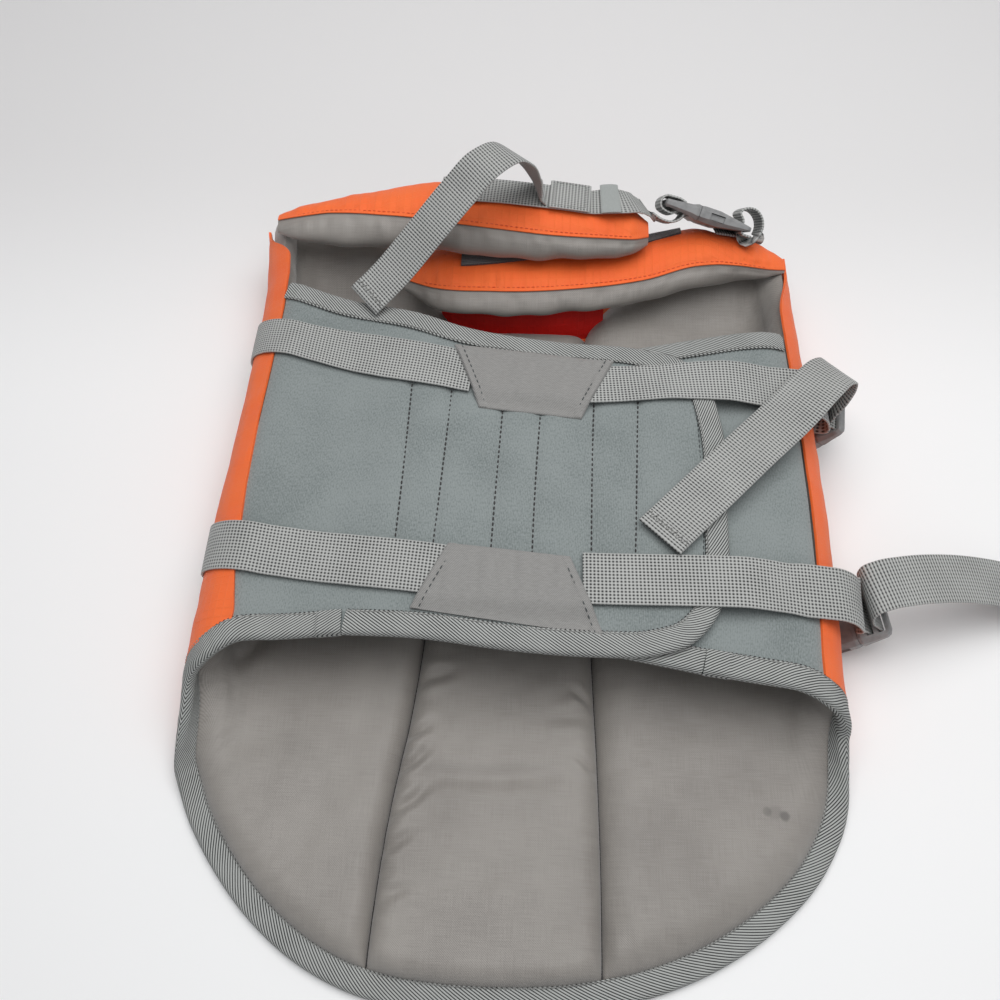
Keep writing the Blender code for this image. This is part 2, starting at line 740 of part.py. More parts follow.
def make_left_strap(name, centre_y):
    """A belly strap from low on the left side, up and over the flap to its patch."""
    places = [on_curl(-1, deg, y) for deg, y in zip(STRAP_LEFT_DEG, centre_y)]
    places += [on_belly(-1, x, y) for x, y in zip(STRAP_LEFT_X, centre_y[len(places) :])]
    route = np.stack([np.asarray(places, float), np.asarray(centre_y)], axis=1)
    centre = smooth_curve(route, two_paces(0.42, 14, 10))
    half = np.array([0.0, BELLY_WEBBING / 2])
    grid = ruled(centre - half, centre + half, (0.0, 1.0))
    sheet(name, grid, STRAP_ON, STRAP_TOP, "webbing", left_flap_lift)


def strap_row(s, y, out):
    """A ribbon row on the body: its place and the way of its width, which lies along y."""
    low, centre, high = worn(np.full(3, s), y + np.array([-0.5, 0.0, 0.5]) * BELLY_WEBBING, out)
    way = high - low
    bearing = math.degrees(math.atan2(way[1], way[0]))
    rise = math.degrees(math.atan2(way[2], math.hypot(way[0], way[1])))
    return (*centre, bearing, rise)


def make_right_strap(name, centre_y, fall, last_rows):
    """A belly strap from its patch over the right side, round its buckle's bar and to its end.

    `fall` is a table of degrees round the curl and distances out from the skin, and `last_rows`
    are the ribbon rows from the buckle on.
    """
    on_skin = STRAP_ON + STRAP_CLEAR + WEBBING / 2
    drop = lift_off_end(STEP_FROM, STEP_TO)
    rows = []
    for x in np.linspace(STRAP_RIGHT_X, float(curl_start(1.0, centre_y)), 10):
        rows.append(strap_row(on_belly(1, x, centre_y), centre_y, on_skin + drop(x)))
    for degrees, out in fall:
        rows.append(strap_row(on_curl(1, degrees, centre_y), centre_y, on_skin + out))
    ribbon(name, rows + last_rows, BELLY_WEBBING, 2)


def make_patch(name, long_centre, short_centre):
    """A trapezoid patch over the straps' ends, its long edge along the flap's binding."""
    rows = []
    for (x, y, slope), half in ((long_centre, PATCH_LONG), (short_centre, PATCH_SHORT)):
        along = np.linspace(-half, half, 7)
        hem_y = y + slope * along
        rows.append(np.stack([on_belly(-1, x + along, hem_y), hem_y], axis=1))
    lowest = STRAP_TOP + 2 * SEAM_GAP
    grid = ruled(rows[0], rows[1], (0.0, 0.5, 1.0))
    sheet(name, grid, lowest, lowest + TAPE, "patch_nylon", left_flap_lift)


# --- Buckles ---------------------------------------------------------------------------------------------


def block(name, low, high):
    """An axis-aligned block as a mesh object, in millimetres."""
    shape = bmesh.new()
    bmesh.ops.create_cube(shape, size=1.0)
    size = [to - since for since, to in zip(low, high)]
    middle = [(to + since) / 2 for since, to in zip(low, high)]
    bmesh.ops.scale(shape, vec=size, verts=shape.verts)
    bmesh.ops.translate(shape, vec=middle, verts=shape.verts)
    mesh = bpy.data.meshes.new(name)
    shape.to_mesh(mesh)
    shape.free()
    made = bpy.data.objects.new(name, mesh)
    bpy.context.collection.objects.link(made)
    return made


def plate(name, outline, half_heights):
    """A closed body over an outline of x and half widths, its half height given at each row."""
    table = np.asarray(outline, float)
    heights = np.asarray(half_heights, float)
    rings = []
    for (x, half), height in zip(table, heights):
        soft = min(height * 0.55, half * 0.4)
        ring = [
            (x, -half, -height + soft),
            (x, -half + soft, -height),
            (x, half - soft, -height),
            (x, half, -height + soft),
            (x, half, height - soft),
            (x, half - soft, height),
            (x, -half + soft, height),
            (x, -half, height - soft),
        ]
        rings.append(ring)
    rings = np.asarray(rings)
    rows, around = rings.shape[:2]
    faces = []
    for row in range(rows - 1):
        for k in range(around):
            beside = (k + 1) % around
            low, high = row * around, (row + 1) * around
            faces.append((low + k, low + beside, high + beside, high + k))
    faces.append(tuple(range(around))[::-1])
    faces.append(tuple(range((rows - 1) * around, rows * around)))
    mesh = bpy.data.meshes.new(name)
    mesh.from_pydata(rings.reshape(-1, 3).tolist(), [], faces)
    shape = bmesh.new()
    shape.from_mesh(mesh)
    bmesh.ops.recalc_face_normals(shape, faces=shape.faces[:])
    shape.to_mesh(mesh)
    shape.free()
    made = bpy.data.objects.new(name, mesh)
    bpy.context.collection.objects.link(made)
    return made


def combine(body, others, operation):
    """Join or cut the body with other objects, which are used up."""
    for other in others:
        modifier = body.modifiers.new("combine", "BOOLEAN")
        modifier.operation = operation
        modifier.solver = "EXACT"
        modifier.object = other
        graph = bpy.context.evaluated_depsgraph_get()
        mesh = bpy.data.meshes.new_from_object(body.evaluated_get(graph))
        body.modifiers.clear()
        body.data = mesh
        bpy.data.objects.remove(other, do_unlink=True)
    return body


def place_solid(name, body, place):
    """Give a finished body its place and its material, and turn millimetres into metres."""
    mesh = body.data.copy()
    bpy.data.objects.remove(body, do_unlink=True)
    mesh.transform(place)
    mesh.transform(Matrix.Scale(MM, 4))
    mesh.materials.clear()
    mesh.shade_smooth()
    mesh.set_sharp_from_angle(angle=math.radians(35))
    return finish_object(name, mesh, "buckle_plastic")


class Buckle:
    """A side-release buckle: x runs from the socket's strap bar to the plug's strap frame.

    Its mouth, where the two halves meet, is at x = 0.
    """

    def __init__(self, web, plug, socket, place):
        self.web = web
        self.half = web / 2 + 4.0
        self.plug = plug
        self.socket = socket
        self.place = place
        self.bar = 2.6
        self.rail = 3.4
        self.slot = 3.4
        self.body_half = 4.8
        self.frame_half = 2.3
        self.arm_out = self.half - 1.6
        self.arm_in = self.half - 5.2
        self.arm_half = 1.7

    def make_plug(self, name):
        """The half with the strap frame, a middle bar and two spring arms."""
        half = self.half
        body = plate(
            "plug_body",
            (
                (0.3, half - 0.4),
                (2.0, half),
                (5.5, half),
                (self.plug - 3.0, half - 0.3),
                (self.plug - 0.9, half - 1.4),
                (self.plug, half - 3.4),
            ),
            (self.body_half - 0.3, self.body_half, 3.6, self.frame_half, self.frame_half, 1.7),
        )
        reach = half - self.rail
        window = 5.4
        middle = window + (self.plug - self.bar - window - self.bar) / 2
        cuts = [
            block("cut_a", (window, -reach, -9.0), (middle, reach, 9.0)),
            block("cut_b", (middle + self.bar, -reach, -9.0), (self.plug - self.bar, reach, 9.0)),
        ]
        combine(body, cuts, "DIFFERENCE")
        arms = []
        for side in (-1, 1):
            near, far = sorted((side * (self.arm_in + 0.4), side * (self.arm_out - 0.4)))
            arms.append(block("arm", (-17.0, near, -self.arm_half), (2.0, far, self.arm_half)))
        combine(body, arms, "UNION")
        return place_solid(name, body, self.place)

    def make_socket(self, name):
        """The half that the arms snap into, with a window at each edge and a strap slot."""
        half = self.half
        end = -self.socket
        body = plate(
            "socket_body",
            (
                (end, half - 3.2),
                (end + 2.0, half - 1.6),
                (end + 8.0, half - 1.0),
                (-12.0, half - 0.4),
                (-2.0, half),
                (0.0, half - 0.4),
            ),
            (1.2, 1.6, 2.6, self.body_half, self.body_half, self.body_half - 0.3),
        )
        reach = self.web / 2 + 0.5
        slot = end + 3.0
        cuts = [block("slot", (slot, -reach, -9.0), (slot + self.slot, reach, 9.0))]
        for side in (-1, 1):
            near, far = sorted((side * self.arm_in, side * self.arm_out))
            cuts.append(
                block("tunnel", (-18.0, near, -self.arm_half - 0.4), (2.0, far, self.arm_half + 0.4))
            )
            near, far = sorted((side * (self.arm_out - 1.0), side * (half + 3.0)))
            cuts.append(
                block("window", (-15.5, near, -self.arm_half - 0.4), (-6.5, far, self.arm_half + 0.4))
            )
        combine(body, cuts, "DIFFERENCE")
        return place_solid(name, body, self.place)


def placed(x, y, z, yaw, pitch, roll=0.0):
    """A place in space: turned about its own axis, tilted up at its far end, then turned round."""
    turn = Matrix.Rotation(math.radians(yaw), 4, "Z")
    tilt = Matrix.Rotation(math.radians(-pitch), 4, "Y")
    spin = Matrix.Rotation(math.radians(roll), 4, "X")
    return Matrix.Translation(Vector((x, y, z))) @ turn @ tilt @ spin


FRONT_BUCKLE = placed(174.8, 332.0, 23.8, -7.0, 59.0)
REAR_BUCKLE = placed(180.7, 207.0, 19.0, 9.0, 38.0)
NECK_BUCKLE = placed(99.5, 451.5, 67.8, 168.0, 11.0, 50.0)
BUCKLES = {"front": FRONT_BUCKLE, "rear": REAR_BUCKLE, "neck": NECK_BUCKLE}


BUCKLE_SIZES = (
    # name, webbing, length of the plug's frame, length of the socket
    ("front", BELLY_WEBBING, 18.0, 24.0),
    ("rear", BELLY_WEBBING, 18.0, 26.0),
    ("neck", NECK_WEBBING, 22.0, 33.0),
)


def route_in(place, rows):
    """Ribbon rows given in a buckle's own frame (x, z across its middle), as places in space."""
    turned = []
    across = place.to_3x3() @ Vector((0.0, 1.0, 0.0))
    bearing = math.degrees(math.atan2(across.y, across.x))
    rise = math.degrees(math.asin(max(-1.0, min(1.0, across.z))))
    for x, z in rows:
        point = place @ Vector((x, 0.0, z))
        turned.append((point.x, point.y, point.z, bearing, rise))
    return turned


# --- Neck flaps ---------------------------------------------------------------------------------------------

LEFT_NECK_FLAP = (
    # x, y, z of the middle, half depth, half height
    (-160.0, 441.0, 60.6, 5.0, 1.6),
    (-148.0, 441.0, 62.0, 9.0, 4.0),
    (-128.0, 441.5, 63.2, 14.0, 8.5),
    (-98.0, 443.0, 65.0, 20.0, 12.0),
    (-62.0, 445.0, 66.2, 24.0, 14.0),
    (-25.0, 443.0, 66.4, 25.0, 14.0),
    (10.0, 440.5, 65.9, 24.0, 13.5),
    (42.0, 439.5, 64.8, 20.0, 12.0),
    (62.0, 439.0, 63.8, 15.0, 9.0),
    (70.0, 439.0, 63.0, 8.0, 4.5),
)
RIGHT_NECK_FLAP = (
    # x, y, z of the middle, half depth, half height
    (160.0, 432.0, 49.4, 5.0, 1.8),
    (150.0, 432.3, 48.0, 9.5, 4.9),
    (128.0, 434.5, 46.5, 15.0, 10.0),
    (114.0, 435.3, 46.0, 18.5, 12.0),
    (100.0, 435.3, 45.3, 21.5, 12.6),
    (70.0, 428.5, 41.5, 23.5, 10.8),
    (25.0, 422.0, 40.0, 26.0, 10.5),
    (-22.0, 418.0, 40.0, 26.0, 10.5),
    (-62.0, 418.0, 40.5, 22.0, 9.0),
    (-80.0, 420.0, 41.0, 12.0, 4.5),
)
NECK_FRONT_SEAM_DEG = 150.0  # where cover and lining meet, round the roll from its back
NECK_BACK_SEAM_DEG = -25.0
EDGE_FULL = 0.6  # each half is this thick along its seams


def arc_sheet(rows, start, stop, shares):
    """Points of a roll's skin between two angles, a row for each place along it."""
    table = np.asarray(rows)
    angle = np.radians(start + (stop - start) * np.asarray(shares))[None, :]
    x = table[:, :1] + 0.0 * angle
    y = table[:, 1:2] + table[:, 3:4] * np.cos(angle)
    z = table[:, 2:3] + table[:, 4:5] * np.sin(angle)
    return np.stack([x, y, z], axis=-1)


def make_roll(name, rows, start, stop, push, finish):
    """Half of a padded neck flap: between its rounded skin and the flat that halves it."""
    table = smooth_curve(rows, 12)
    shares = np.linspace(0.0, 1.0, 7)
    skin = arc_sheet(table, start, stop, shares)
    chord = skin[:, :1] * (1 - shares)[None, :, None] + skin[:, -1:] * shares[None, :, None]
    gap = np.array([0.0, 0.0, push * SEAM_GAP / 2])
    edge = np.array([0.0, 0.0, push * EDGE_FULL])
    two_sheet_solid(name, chord + gap, skin + gap + edge, finish)


def make_neck_flaps():
    """The two padded flaps that close over the neck, the left one on top."""
    for name, rows in (("neck_flap_left", LEFT_NECK_FLAP), ("neck_flap_right", RIGHT_NECK_FLAP)):
        front, back = NECK_FRONT_SEAM_DEG, NECK_BACK_SEAM_DEG
        make_roll(name + "_cover", rows, back, front, 1.0, "orange_nylon")
        make_roll(name + "_lining", rows, front, 360.0 + back, -1.0, "grey_lining")


def roll_top(rows, x, degrees, out):
    """Places on a neck flap's skin at x and an angle round it, moved out."""
    table = np.asarray(rows)
    order = np.argsort(table[:, 0])
    columns = [np.interp(x, table[order, 0], table[order, k]) for k in range(1, 5)]
    y, z, depth, height = columns
    angle = np.radians(degrees)
    face = np.stack([np.cos(angle) / depth, np.sin(angle) / height], axis=-1)
    face /= np.linalg.norm(face, axis=-1)[..., None]
    return np.stack(
        [
            x + 0.0 * angle,
            y + depth * np.cos(angle) + face[..., 0] * out,
            z + height * np.sin(angle) + face[..., 1] * out,
        ],
        axis=-1,
    )


def on_roll(name, rows, along, around, out, thickness, finish):
    """A flat piece on a neck flap's skin: places x along it, and the angles round it at each."""
    x, degrees = np.broadcast_arrays(along[:, None], around)
    under = roll_top(rows, x, degrees, out)
    over = roll_top(rows, x, degrees, out + thickness)
    two_sheet_solid(name, under, over, finish)


def roll_row(rows, x, degrees, out):
    """A ribbon row that touches a neck flap's skin along its middle."""
    low, middle, high = roll_top(rows, x, degrees + np.array([0.5, 0.0, -0.5]), out)
    way = low - high
    rise = math.degrees(math.atan2(way[2], -way[1]))
    return (*middle, -90.0, rise)


COLLAR = (
    # x, y of the foot, y of the top, z of the top
    (-46.5, 402.0, 411.0, 21.0),
    (-34.0, 399.0, 409.0, 27.0),
    (-10.0, 398.0, 408.0, 28.5),
    (14.0, 398.5, 409.0, 28.5),
    (27.0, 400.5, 410.0, 27.0),
    (33.5, 402.5, 412.0, 22.0),
)
COLLAR_FOOT_Z = 2.0


def make_collar():
    """The band of outer fabric that stands up inside the neckline, behind the pads' ends."""
    table = smooth_curve(COLLAR, 9)
    share = np.linspace(0.0, 1.0, 4)[None, :]
    x = table[:, :1] + 0.0 * share
    y = table[:, 1:2] + (table[:, 2:3] - table[:, 1:2]) * share**2
    z = COLLAR_FOOT_Z + (table[:, 3:4] - COLLAR_FOOT_Z) * share
    face = np.stack([x, y, z], axis=-1)
    back = np.array([0.0, SHELL, 0.0])
    two_sheet_solid("neck_collar", face, face + back, "orange_nylon")


NECK_ON = 1.2  # the webbing lies this far above the flap's skin
NECK_STRAP_AT = (-58.0, -40.0, -20.0, 0.0, 20.0, 34.0)  # its places along the flap ...
NECK_STRAP_DEG = 66.0  # ... and how far round it, from the back
NECK_DIP = (
    # x, y, z of the centre, and the bearing and rise of the width
    (44.0, 449.0, 79.2, -90.0, 12.0),
    (52.0, 449.3, 79.2, -90.0, 14.0),
    (58.0, 450.3, 77.8, -90.0, 18.0),
    (64.0, 451.5, 75.0, -92.0, 29.0),
    (69.0, 451.7, 71.6, -96.0, 40.0),
)
NECK_KEEPER = (
    # x, y, z of the centre, and the bearing and rise of the width
    (39.5, 449.0, 81.0, -90.0, 12.0),
    (45.5, 449.2, 81.6, -90.0, 12.0),
    (51.0, 449.4, 81.4, -90.0, 13.0),
)
NECK_KEEPER_WIDTH = 29.0
NECK_ROUND_BAR = (
    # x, z in the buckle
    (27.0, -8.3),
    (20.0, -10.2),
    (13.0, -9.4),
    (9.0, -5.8),
    (8.2, -1.0),
    (8.8, 3.0),
    (12.5, 4.6),
    (17.5, 4.6),
    (22.0, 4.0),
    (24.2, 0.6),
    (23.0, -3.2),
    (19.0, -4.8),
    (14.5, -5.0),
)
NECK_TAIL = (
    # x, y, z of the centre, and the bearing and rise of the width
    (5.0, 451.5, 82.8, -90.0, 13.0),
    (2.0, 451.5, 85.0, -90.0, 16.0),
    (0.5, 451.0, 91.0, -84.0, 18.0),
    (-1.5, 449.5, 103.0, -76.0, 18.0),
    (-6.0, 447.0, 116.0, -64.0, 12.0),
    (-15.0, 442.0, 124.5, -52.0, 6.0),
    (-28.0, 434.0, 124.0, -44.0, 2.0),
    (-45.0, 421.5, 112.0, -42.0, 0.0),
    (-64.0, 406.0, 95.0, -42.0, 0.0),
    (-84.0, 389.5, 77.5, -42.0, 0.0),
    (-100.0, 376.5, 67.5, -42.0, 0.0),
)


def make_neck_strap():
    """The neck's webbing, sewn along the left flap, with its patch, keeper and loose tail."""
    flap = LEFT_NECK_FLAP
    rows = [roll_row(flap, x, NECK_STRAP_DEG, NECK_ON + WEBBING / 2) for x in NECK_STRAP_AT]
    rows += list(NECK_DIP) + route_in(NECK_BUCKLE, NECK_ROUND_BAR)
    ribbon("neck_strap", rows, NECK_WEBBING, 2)
    above = NECK_ON + 1.5 * WEBBING + 0.7
    rows = [roll_row(flap, x, NECK_STRAP_DEG, above) for x in (8.5, 21.0, 33.5)]
    ribbon("neck_strap_patch", rows, NECK_KEEPER_WIDTH, 1)
    ribbon("neck_strap_keeper", NECK_KEEPER, NECK_KEEPER_WIDTH, 1, "binding")
    ribbon("neck_strap_tail", NECK_TAIL, NECK_WEBBING, 3)


def make_buckles():
    """The three side-release buckles and the webbing that holds them."""
    for name, web, plug, socket in BUCKLE_SIZES:
        buckle = Buckle(web, plug, socket, BUCKLES[name])
        buckle.make_plug(name + "_buckle_plug")
        buckle.make_socket(name + "_buckle_socket")
    front_rows = route_in(FRONT_BUCKLE, ROUND_BAR) + list(FRONT_TAIL)
    make_right_strap("front_strap_right", FRONT_STRAP_RIGHT_Y, FRONT_FALL, front_rows)
    rear_rows = route_in(REAR_BUCKLE, ROUND_BAR) + list(REAR_TAIL)
    make_right_strap("rear_strap_right", REAR_STRAP_RIGHT_Y, REAR_FALL, rear_rows)
    for name, table in (("front", FRONT_ANCHOR), ("rear", REAR_ANCHOR)):
        rows = list(table[:2]) + route_in(BUCKLES[name], table[2:-2]) + list(table[-2:])
        ribbon(name + "_buckle_anchor", rows, BELLY_WEBBING, 2)
    rows = list(NECK_ANCHOR) + route_in(NECK_BUCKLE, NECK_ANCHOR_ROUND)
    ribbon("neck_buckle_anchor", rows, NECK_WEBBING, 2)


ROUND_BAR = (
    # x, z in the buckle
    (6.4, 10.0),
    (7.0, 5.0),
    (7.2, 0.5),
    (8.0, -3.5),
    (10.4, -4.7),
    (12.8, -3.6),
    (13.5, 0.5),
    (13.7, 6.0),
)
FRONT_ANCHOR = (
    # x, y, z, bearing and rise; in the middle x, z in the buckle
    (150.0, 333.5, 1.0, 83.0, 0.0),
    (157.0, 333.5, 1.3, 83.0, 0.0),
    (-24.6, -2.6),
    (-21.0, -2.9),
    (-19.3, 0.0),
    (-20.6, 2.9),
    (-24.5, 3.0),
    (156.5, 333.5, 3.2, 83.0, 0.0),
    (150.5, 333.5, 2.6, 83.0, 0.0),
)
REAR_ANCHOR = (
    (153.0, 202.7, 1.1, 98.0, 0.0),
    (157.0, 203.2, 1.3, 99.0, 0.0),
    (-27.2, -2.0),
    (-23.0, -2.9),
    (-21.3, 0.0),
    (-22.6, 2.9),
    (-26.0, 2.8),
    (156.5, 203.2, 3.6, 99.0, 0.0),
    (154.5, 202.8, 2.8, 98.0, 0.0),
)
NECK_ANCHOR = (
    # x, y, z of the centre, and the bearing and rise of the width
    (152.0, 435.5, 54.6, -91.0, 4.0),
    (147.5, 437.0, 56.4, -93.0, 16.0),
    (142.8, 439.5, 58.8, -97.0, 35.0),
)
NECK_ANCHOR_ROUND = (
    # x, z in the buckle
    (-39.6, -2.0),
    (-40.2, 3.5),
    (-37.8, 9.0),
    (-32.5, 12.4),
    (-27.2, 11.6),
    (-24.4, 8.2),
    (-27.3, 4.6),
    (-28.4, 0.2),
    (-29.4, -3.4),
    (-33.0, -3.8),
    (-35.8, -3.6),
)
FRONT_FALL = (
    # degrees round the curl, out
    (168.0, 0.4),
    (156.0, 1.6),
    (146.0, 4.0),
    (136.0, 7.0),
    (124.0, 8.2),
    (112.0, 7.4),
)
REAR_FALL = (
    # degrees round the curl, out
    (168.0, 0.4),
    (156.0, 1.4),
    (146.0, 3.4),
    (136.0, 6.5),
    (124.0, 9.0),
    (112.0, 10.5),
)
FRONT_TAIL = (
    # x, y, z of the centre, and the bearing and rise of the width
    (175.0, 330.5, 46.0, 92.0, 0.0),
    (176.0, 332.0, 56.0, 108.0, -5.0),
    (176.0, 334.0, 65.0, 122.0, -10.0),
    (173.5, 333.5, 70.8, 130.0, -12.0),
    (168.5, 330.0, 73.6, 135.0, -10.0),
    (161.0, 322.0, 75.0, 136.0, -6.0),
    (146.0, 304.5, 75.0, 136.0, 0.0),
    (120.0, 277.5, 74.4, 136.0, 0.0),
    (94.0, 250.0, 74.0, 136.0, 0.0),
    (68.5, 223.0, 74.2, 136.0, 0.0),
)
REAR_TAIL = (
    # x, y, z of the centre, and the bearing and rise of the width
    (183.5, 207.0, 38.0, 100.0, 0.0),
    (182.0, 207.5, 44.0, 100.0, 0.0),
    (183.5, 208.5, 48.6, 100.0, 0.0),
    (190.0, 210.5, 51.0, 100.0, 0.0),
    (203.0, 214.0, 49.5, 100.0, 0.0),
    (230.0, 220.0, 41.5, 99.0, 0.0),
    (258.0, 224.0, 29.5, 96.0, 0.0),
    (284.0, 226.0, 15.5, 93.0, 0.0),
    (303.0, 226.5, 4.5, 92.0, 0.0),
    (316.0, 226.5, 1.2, 92.0, 0.0),
)


def rest_at_origin():
    """Move every piece so that the middle of the jacket's underside is the origin."""
    things = list(bpy.data.objects)
    points = np.concatenate(
        [np.array([vertex.co for vertex in thing.data.vertices]) for thing in things]
    )
    low, high = points.min(axis=0), points.max(axis=0)
    shift = Vector((-(low[0] + high[0]) / 2, -(low[1] + high[1]) / 2, -low[2]))
    for thing in things:
        thing.data.transform(Matrix.Translation(shift))


def main():
    """Build the jacket piece by piece."""
    clear_scene()
    make_back_shell()
    make_side_shell("side_shell_left", -1, LEFT_SEAM_DEG, LEFT_SHELL_SHOULDER)
    make_side_shell("side_shell_right", 1, RIGHT_SEAM_DEG, RIGHT_SHELL_SHOULDER)
    make_outer_pad("back_pad_left", -1, LEFT_PAD_SEAM, LEFT_PAD_SHOULDER)
    make_middle_pad()
    make_outer_pad("back_pad_right", 1, RIGHT_PAD_SEAM, RIGHT_PAD_SHOULDER)
    make_belly_flaps()
    make_bindings()
    make_left_strap("front_strap_left", FRONT_STRAP_LEFT_Y)
    make_left_strap("rear_strap_left", REAR_STRAP_LEFT_Y)
    make_patch("front_strap_patch", (1.0, 339.0, -0.11), (0.0, 299.0, -0.1))
    make_patch("rear_strap_patch", (-6.0, 174.0, -0.12), (-6.0, 213.0, -0.1))
    make_buckles()
    make_neck_flaps()
    make_collar()
    along = np.linspace(-45.0, 92.0, 12)
    around = np.linspace(88.0, 56.0, 12)[:, None] - np.linspace(36.0, 0.0, 5)
    on_roll("neck_hook_patch", RIGHT_NECK_FLAP, along, around, 1.2, TAPE, "hook_and_loop")
    make_neck_strap()
    rest_at_origin()


main()
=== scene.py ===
"""Dog life jacket, laid on its back with its belly bands and neck flaps closed.

Cloth is worked out in a flat pattern (s, y) in millimetres: s is the distance round the body from
the middle of the back, negative to the left, and y the distance from the tail. `BodyPattern.worn`
bends it into the closed jacket, and `to_model` turns millimetres into the model's metres.
"""

from __future__ import annotations

import logging
import math
from dataclasses import dataclass, field
from enum import Enum
from typing import Sequence

import bpy
import numpy as np
from mathutils import Matrix, Vector

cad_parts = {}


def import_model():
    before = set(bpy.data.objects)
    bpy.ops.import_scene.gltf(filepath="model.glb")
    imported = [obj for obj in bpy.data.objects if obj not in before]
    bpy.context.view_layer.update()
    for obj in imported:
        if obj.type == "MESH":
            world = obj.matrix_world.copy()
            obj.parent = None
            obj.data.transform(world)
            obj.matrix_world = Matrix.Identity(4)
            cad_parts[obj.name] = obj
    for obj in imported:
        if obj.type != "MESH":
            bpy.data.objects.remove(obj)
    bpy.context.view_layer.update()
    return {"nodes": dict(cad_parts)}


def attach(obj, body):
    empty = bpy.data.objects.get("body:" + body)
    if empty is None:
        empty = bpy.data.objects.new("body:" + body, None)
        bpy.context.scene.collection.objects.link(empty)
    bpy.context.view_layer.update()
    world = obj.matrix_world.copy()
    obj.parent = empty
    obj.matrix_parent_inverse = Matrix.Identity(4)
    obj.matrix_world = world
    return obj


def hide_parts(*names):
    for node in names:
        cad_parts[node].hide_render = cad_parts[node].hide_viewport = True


LOG = logging.getLogger("dog_life_jacket")

MM = 0.001
MODEL_SHIFT = np.array([-67.852, -234.451, 0.016])

Array = np.ndarray
Line = tuple[np.ndarray, np.ndarray]
Row = Sequence[float]
Rows = Sequence[Row]
Colour = tuple[float, float, float, float]
Piece = bpy.types.Object
Material = bpy.types.Material
Socket = bpy.types.NodeSocket


# --- Numbers, curves and grids ---


def to_model(points: Array) -> Array:
    """Jacket millimetres as the model's metres."""
    return (np.asarray(points, float) + MODEL_SHIFT) * MM


def ease(value: Array | float) -> Array:
    """Smooth step 3t^2 - 2t^3 from 0 to 1 as the value goes from 0 to 1."""
    held = np.clip(value, 0, 1)
    return held * held * (3 - 2 * held)


def bump_at(distance: Array, width: float) -> Array:
    """Bell exp(-(distance / width)^2): 1 on a line, and nothing two widths from it."""
    return np.exp(-((distance / width) ** 2))


def smooth_curve(points: Rows, count: int | Array, fine: int = 900) -> Array:
    """A smooth curve through the points, as cubic Hermite pieces, evenly resampled.

    Args:
        points: Knots, in any number of dimensions.
        count: Number of points to give back, or the shares of the length that are wanted.
        fine: Number of samples that the length is measured with.

    Returns:
        A row for each point.
    """
    knots_at = np.asarray(points, float)
    knots = run_along(knots_at)
    slopes = np.gradient(knots_at, knots, axis=0)
    run = np.linspace(0, knots[-1], fine)
    low = np.clip(np.searchsorted(knots, run, side="right") - 1, 0, len(knots) - 2)
    span = (knots[low + 1] - knots[low])[:, None]
    t = (run - knots[low])[:, None] / span
    curve = (
        (2 * t**3 - 3 * t**2 + 1) * knots_at[low]
        + (t**3 - 2 * t**2 + t) * span * slopes[low]
        + (3 * t**2 - 2 * t**3) * knots_at[low + 1]
        + (t**3 - t**2) * span * slopes[low + 1]
    )
    length = run_along(curve)
    shares = np.linspace(0, 1, count) if isinstance(count, int) else np.asarray(count)
    return looked_up(length[-1] * shares, length, curve)


def unit(ways: Array) -> Array:
    """Vectors at length 1."""
    return ways / np.linalg.norm(ways, axis=-1)[..., None]


def looked_up(wanted: Array, at: Array, table: Array) -> Array:
    """Rows of a table that is given at some places, read between them at the wanted places."""
    return np.stack([np.interp(wanted, at, column) for column in table.T], axis=1)


def run_along(path: Array) -> Array:
    """Distance travelled along a path at each of its points."""
    return np.concatenate([[0], np.cumsum(np.linalg.norm(np.diff(path, axis=0), axis=1))])


def nearest_on(path: Array, s: Array, y: Array) -> Line:
    """Shortest distance from each pattern point to a path, and how far along it that is.

    Args:
        path: Points (s, y) of a polyline.
        s: Pattern distances round the body.
        y: Pattern distances from the tail.

    Returns:
        Both distances, in the shape of s.
    """
    start, run = path[:-1], np.diff(path, axis=0)
    begun = run_along(path)[:-1]
    length = np.linalg.norm(run, axis=1)
    points = np.stack([s.ravel(), y.ravel()], axis=-1)
    offset = points[:, None] - start
    share = np.clip((offset * run).sum(-1) / (run**2).sum(-1), 0, 1)
    away = np.linalg.norm(offset - share[..., None] * run, axis=-1)
    pick = away.argmin(axis=1)
    row = np.arange(len(points))
    along = begun[pick] + share[row, pick] * length[pick]
    return away[row, pick].reshape(s.shape), along.reshape(s.shape)


@dataclass(frozen=True)
class Ripple:
    """Smooth seeded unevenness between about -1 and 1: a sum of plane waves.

    Its swells are a wavelength apart, and `stretch` times longer along y than along s.
    """

    wavelength: float
    seed: int
    stretch: float = 1.0

    def at(self, s: Array, y: Array | float = 0.0) -> Array:
        """Sum of eight cosines of (s cos a + y sin a) / wavelength, scaled by half their root."""
        draw = np.random.default_rng(self.seed)
        s, y = np.broadcast_arrays(np.asarray(s, float), np.asarray(y, float) / self.stretch)
        total = np.zeros(s.shape)
        for angle, pace, phase in draw.uniform((0, 0.7, 0), (math.pi, 1.45, 2 * math.pi), (8, 3)):
            way = (s * math.cos(angle) + y * math.sin(angle)) * pace / self.wavelength
            total += np.cos(2 * math.pi * way + phase)
        return total / 3.2

    def along(self, run: Array) -> Array:
        """Sum of six cosines of the distance along a seam."""
        draw = np.random.default_rng(self.seed)
        total = np.zeros(np.shape(run))
        for pace, phase in draw.uniform((0.6, 0), (1.7, 2 * math.pi), (6, 2)):
            total += np.cos(2 * math.pi * np.asarray(run) * pace / self.wavelength + phase)
        return total / 2.6


